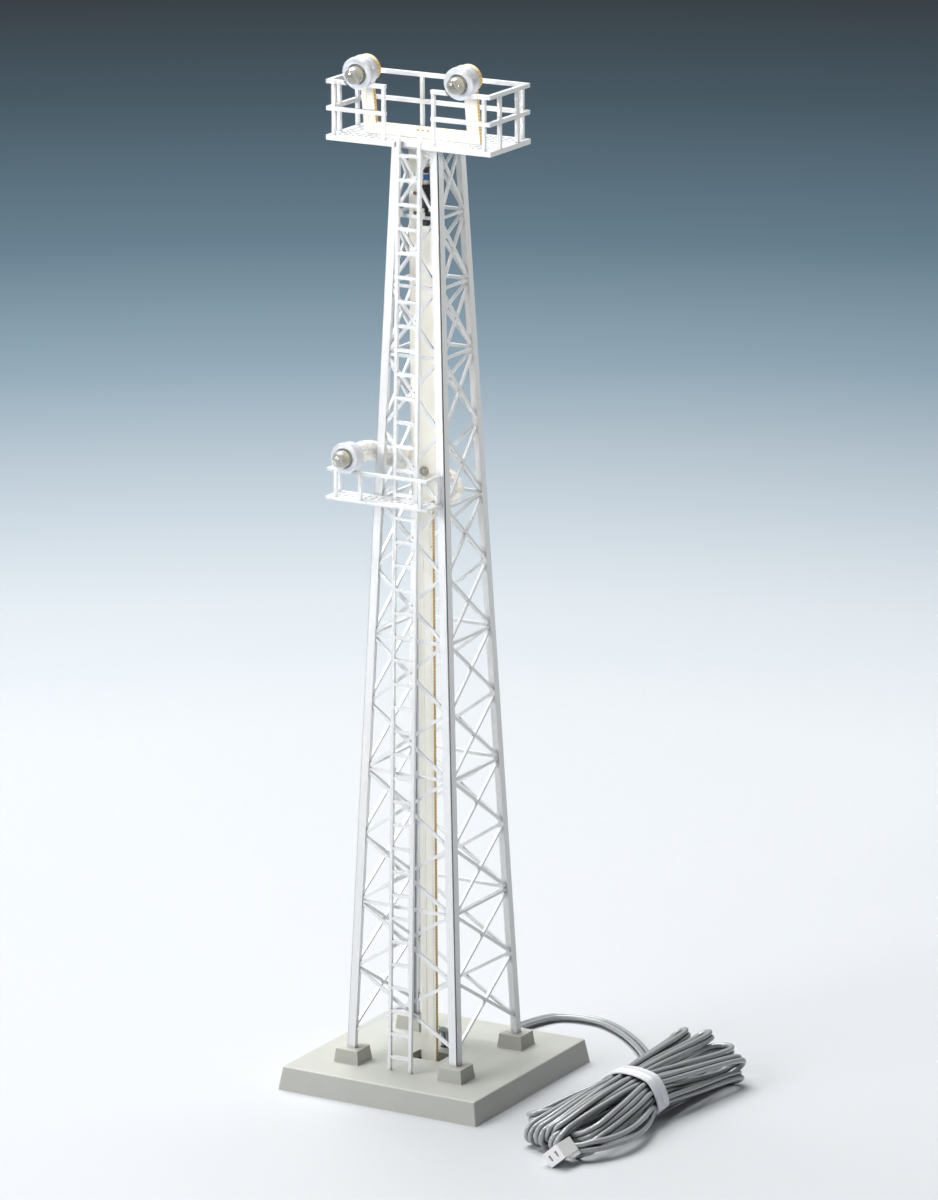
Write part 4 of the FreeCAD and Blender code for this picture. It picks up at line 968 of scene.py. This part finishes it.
def make_resistor():
    """A dumbbell resistor with one blue and one dark band."""
    y, low, sides = -2.74, 159.4, 28
    shape = [(0.0, 0.30), (0.06, 0.52), (0.25, 0.62), (0.75, 0.62), (0.95, 0.52), (1.8, 0.50), (2.65, 0.52),
             (2.85, 0.62), (3.35, 0.62), (3.54, 0.52), (3.6, 0.30)]
    bands = ((0.78, 1.82), (2.05, 3.1))
    rise, reach = zip(*shape)
    cuts = [0.0, 0.06, 0.15, 0.25, 0.55, 0.75, 0.78, 0.95, 1.15, 1.2, 1.5, 1.8, 1.82, 2.05, 2.12, 2.4, 2.65,
            2.72, 2.85, 3.1, 3.35, 3.45, 3.54, 3.6]
    body = Shapes()
    body.add([[(px, py, low + cut) for px, py in circle(float(np.interp(cut, rise, reach)), sides)]
              for cut in cuts], place=Matrix.Translation((PARTS_X, y, 0)))
    colours = []
    for below, above in zip(cuts, cuts[1:]):
        middle = (below + above) / 2
        colour = 0
        for number, (start, end) in enumerate(bands, 1):
            if start < middle < end:
                colour = number
        colours += [colour] * sides
    body.indices = colours + [0, 0]
    body.piece("resistor", "resistor_coat", ["dropping_resistor"],
               [MATERIALS["resistor_coat"], BAND_BLUE, BAND_DARK])


def make_shrink_sleeve():
    """The black sleeve under the resistor: smooth above, crimped in ribs below, with a waist between."""
    centre = (PARTS_X, -2.78)
    upper = np.linspace(155.4, 159.3, 60)
    upper_radii = 0.70 + 0.025 * np.sin(upper * 5.1) + 0.015 * np.sin(upper * 11.7 + 1)
    ribs = np.linspace(152.4, 154.6, 45)
    rib_radii = 0.62 + 0.09 * np.cos((ribs - 152.4) * 2 * math.pi / 0.55) ** 2
    stretches = (([155.38, *upper], [0.55, *upper_radii], 28), (ribs, rib_radii, 28),
                 ((154.5, 155.5), (0.34, 0.34), 16))
    sleeve = Shapes()
    for heights, radii, sides in stretches:
        sleeve.add([[(px, py, z) for px, py in circle(radius, sides, centre)]
                    for z, radius in zip(heights, radii)])
    sleeve.piece("shrink_ribs", "shrink_tube", ["shrink_sleeve"])


make_board_runs()
make_board_pads()
make_solder()
make_resistor()
make_shrink_sleeve()


def make_sleeves():
    """The lower lamp's two glass-fibre sleeves, braided and a little crumpled."""
    lamp_x, _, lamp_height = MID_LAMP
    lift = 0.95
    sides = 36
    entry = [(lamp_x, -11.12, 0.0), (lamp_x, -7.6, -0.1), (-8.2, -5.0, -0.6), (-6.8, -3.75, -1.4),
             (-4.6, -2.1, -2.1), (-2.7, -0.1, -2.8)]
    upper = [(1.0, 0.9, 109.6), (4.2, 0.9, 108.1), (5.15, 0.9, 106.2), (3.9, 0.9, 104.6), (1.6, 0.7, 104.1)]
    lower = [(1.4, 0.6, 107.6)]
    sleeves = Shapes()
    for sign, tail in ((1, upper), (-1, lower)):
        path = even_path([(x, y, lamp_height + z + sign * lift) for x, y, z in entry] + tail, 0.11)
        runs = np.linspace(0, path_length(path)[-1], len(path))
        shaped = []
        for centre, run, ring in zip(path, runs, tube_rings(path, 1.0, sides)):
            new = []
            for corner, point in enumerate(ring):
                a = 2 * math.pi * corner / sides
                weave = math.sin(6 * a + 3.6 * run) * math.sin(6 * a - 3.6 * run)
                crumple = math.sin(1.7 * run + 2 * a + sign) * math.sin(2.6 * run - a)
                new.append(centre + (point - centre) * (0.78 + 0.055 * weave + 0.085 * crumple))
            shaped.append(new)
        sleeves.add(shaped)
    sleeves.piece("mid_sleeves", "sleeve_tube", ["mid_lead_sleeves"], sharp=80)


make_sleeves()


# ---- tread pattern on the decks ----

def make_treads(name, x_span, y_span, top, keep_out):
    """Raised lozenges in a basket pattern, left out where something stands or opens."""
    pitch, long, short, high, margin = 1.3, 0.52, 0.19, 0.14, 0.45
    treads = Shapes()
    columns = int((x_span[1] - x_span[0]) / pitch)
    rows = int((y_span[1] - y_span[0]) / pitch)
    x_first = (x_span[0] + x_span[1] - (columns - 1) * pitch) / 2
    y_first = (y_span[0] + y_span[1] - (rows - 1) * pitch) / 2
    for column in range(columns):
        for row in range(rows):
            x, y = x_first + column * pitch, y_first + row * pitch
            if any(low_x - margin < x < high_x + margin and low_y - margin < y < high_y + margin
                   for low_x, high_x, low_y, high_y in keep_out):
                continue
            lean = math.radians(45 if (column + row) % 2 else -45)
            place = Matrix.Translation((x, y, top)) @ Matrix.Rotation(lean, 4, "Z")
            rings = []
            for rise, grow in ((-0.02, 1.0), (high * 0.45, 0.92), (high * 0.9, 0.6), (high, 0.3)):
                rings.append([(long * grow * math.cos(a), short * grow * math.sin(a), rise)
                              for a in np.linspace(0, 2 * math.pi, 10, endpoint=False)])
            treads.add(rings, place=place)
    # the treads wear the darker silver copy, painted shade on the pattern
    treads.piece(name, "silver_plastic", (), [TREAD_SHADED_SILVER])


RAIL_POSTS = [(x - 0.4, x + 0.4, y - 0.4, y + 0.4)
              for x in (-14.65, -4.85, 4.85, 14.65) for y in (-6.35, 6.35)]
LADDER_NOTCH = (-2.8, 2.8, -7, -5.3)
BOARD_SLOT = (-11.6, 11.6, -2.6, -0.9)
MID_LADDER_NOTCH = (-2.9, 2.9, -9.2, -7.4)
make_treads("top_deck_treads", (-15.2, 15.2), (-5.9, 5.9), DECK_TOP, [*RAIL_POSTS, LADDER_NOTCH, BOARD_SLOT])
make_treads("mid_deck_treads", (-12.8, 5.5), (-11.1, -7.5), 105.5, [MID_LADDER_NOTCH])


# ---- stage ----

FLOOR_RADIUS = 4.0
FLOOR_FADE = 1.3
# distance from the middle in metres, colour
FLOOR_TONES = [(0.0, (0.560, 0.580, 0.600)), (0.22, (0.545, 0.570, 0.592)), (0.32, (0.480, 0.520, 0.550)),
               (0.42, (0.350, 0.405, 0.452)), (0.55, (0.185, 0.258, 0.312)), (0.70, (0.087, 0.146, 0.193)),
               (0.90, (0.044, 0.080, 0.107)), (1.1, (0.027, 0.040, 0.048)), (1.3, (0.024, 0.036, 0.044))]


def make_stage():
    """A level floor, near-white round the object and darkening to slate blue with distance, a painted falloff
    of the light.
    """
    g = Graph("floor")
    split = g.add("ShaderNodeSeparateXYZ", {"Vector": g.place})
    flat = g.add("ShaderNodeCombineXYZ", {"X": split.outputs["X"], "Y": split.outputs["Y"]})
    away = g.add("ShaderNodeVectorMath", {0: flat.outputs[0]}, operation="LENGTH").outputs["Value"]
    span = g.stretch(away, 0.0, FLOOR_FADE)
    # painted light: the floor's colour darkens away from the middle as if the light fell off
    tone = g.ramp(span, [(at / FLOOR_FADE, colour) for at, colour in FLOOR_TONES])
    material = g.finish(Base_Color=tone, Roughness=0.55, Normal=g.bump(g.noise(0.6, 3), 0.01, 0.2))
    rings = 40
    sides = 96
    radii = [FLOOR_RADIUS * (ring / rings) ** 1.5 for ring in range(1, rings + 1)]
    verts = [(0, 0, 0)]
    faces = []
    for radius in radii:
        for side in range(sides):
            a = 2 * math.pi * side / sides
            verts.append((radius * math.cos(a), radius * math.sin(a), 0))
    for side in range(sides):
        faces.append((0, 1 + side, 1 + (side + 1) % sides))
    for ring in range(rings - 1):
        here, there = 1 + ring * sides, 1 + (ring + 1) * sides
        for side in range(sides):
            turn = (side + 1) % sides
            faces.append((here + side, there + side, there + turn, here + turn))
    mesh = bpy.data.meshes.new("floor")
    mesh.from_pydata(verts, [], faces)
    mesh.materials.append(material)
    floor = bpy.data.objects.new("floor", mesh)
    bpy.context.scene.collection.objects.link(floor)


CAMERA_EYE = (570.86, -957.79, 386.96)
CAMERA_TARGET = (5.557, 3.269, 86.07)
CAMERA_LENS = 201.84
CAMERA_ROLL = -0.325


def aimed(position, target):
    """A placing whose -Z axis looks from the position to the target."""
    look = (Vector(target) - Vector(position)).to_track_quat("-Z", "Y").to_matrix().to_4x4()
    return Matrix.Translation(position) @ look


def add_camera():
    eye = Vector(CAMERA_EYE) * MM
    camera = bpy.data.objects.new("camera", bpy.data.cameras.new("camera"))
    camera.data.lens = CAMERA_LENS
    camera.data.sensor_width = 36.0
    camera.data.clip_start = 0.01
    roll = Matrix.Rotation(math.radians(CAMERA_ROLL), 4, "Z")
    camera.matrix_world = aimed(eye, Vector(CAMERA_TARGET) * MM) @ roll
    bpy.context.scene.collection.objects.link(camera)
    bpy.context.scene.camera = camera


def add_softbox(name, position, target, size, power, colour=(1, 1, 1), spread=180):
    light = bpy.data.lights.new(name, "AREA")
    light.shape = "RECTANGLE"
    light.size, light.size_y = size
    light.energy = power
    light.color = colour
    light.spread = math.radians(spread)
    holder = bpy.data.objects.new(name, light)
    holder.matrix_world = aimed(position, target)
    bpy.context.scene.collection.objects.link(holder)


def light_scene():
    """Two large soft lights, and two small narrow ones that lift the upper half of the tower."""
    whole, upper_front, upper_right = (0.01, 0.0, 0.08), (0, 0, 0.155), (0, 0, 0.150)
    add_softbox("overhead", (-0.37, 0.22, 1.15), whole, (0.9, 0.9), 23.5)
    add_softbox("key_left", (-0.75, -1.0, 0.75), whole, (0.75, 0.75), 12.3)
    add_softbox("high_front", (-0.15, -1.10, 0.50), upper_front, (0.12, 0.10), 0.034, spread=12)
    add_softbox("high_right", (1.05, -0.40, 0.40), upper_right, (0.12, 0.10), 0.034, (1.0, 0.95, 0.86), 12)
    world = bpy.data.worlds.new("studio")
    world.use_nodes = True
    background = world.node_tree.nodes["Background"]
    background.inputs["Color"].default_value = (0.84, 0.87, 0.91, 1)
    background.inputs["Strength"].default_value = 0.115
    bpy.context.scene.world = world
    bpy.context.scene.view_settings.view_transform = "Standard"


make_stage()
light_scene()
add_camera()
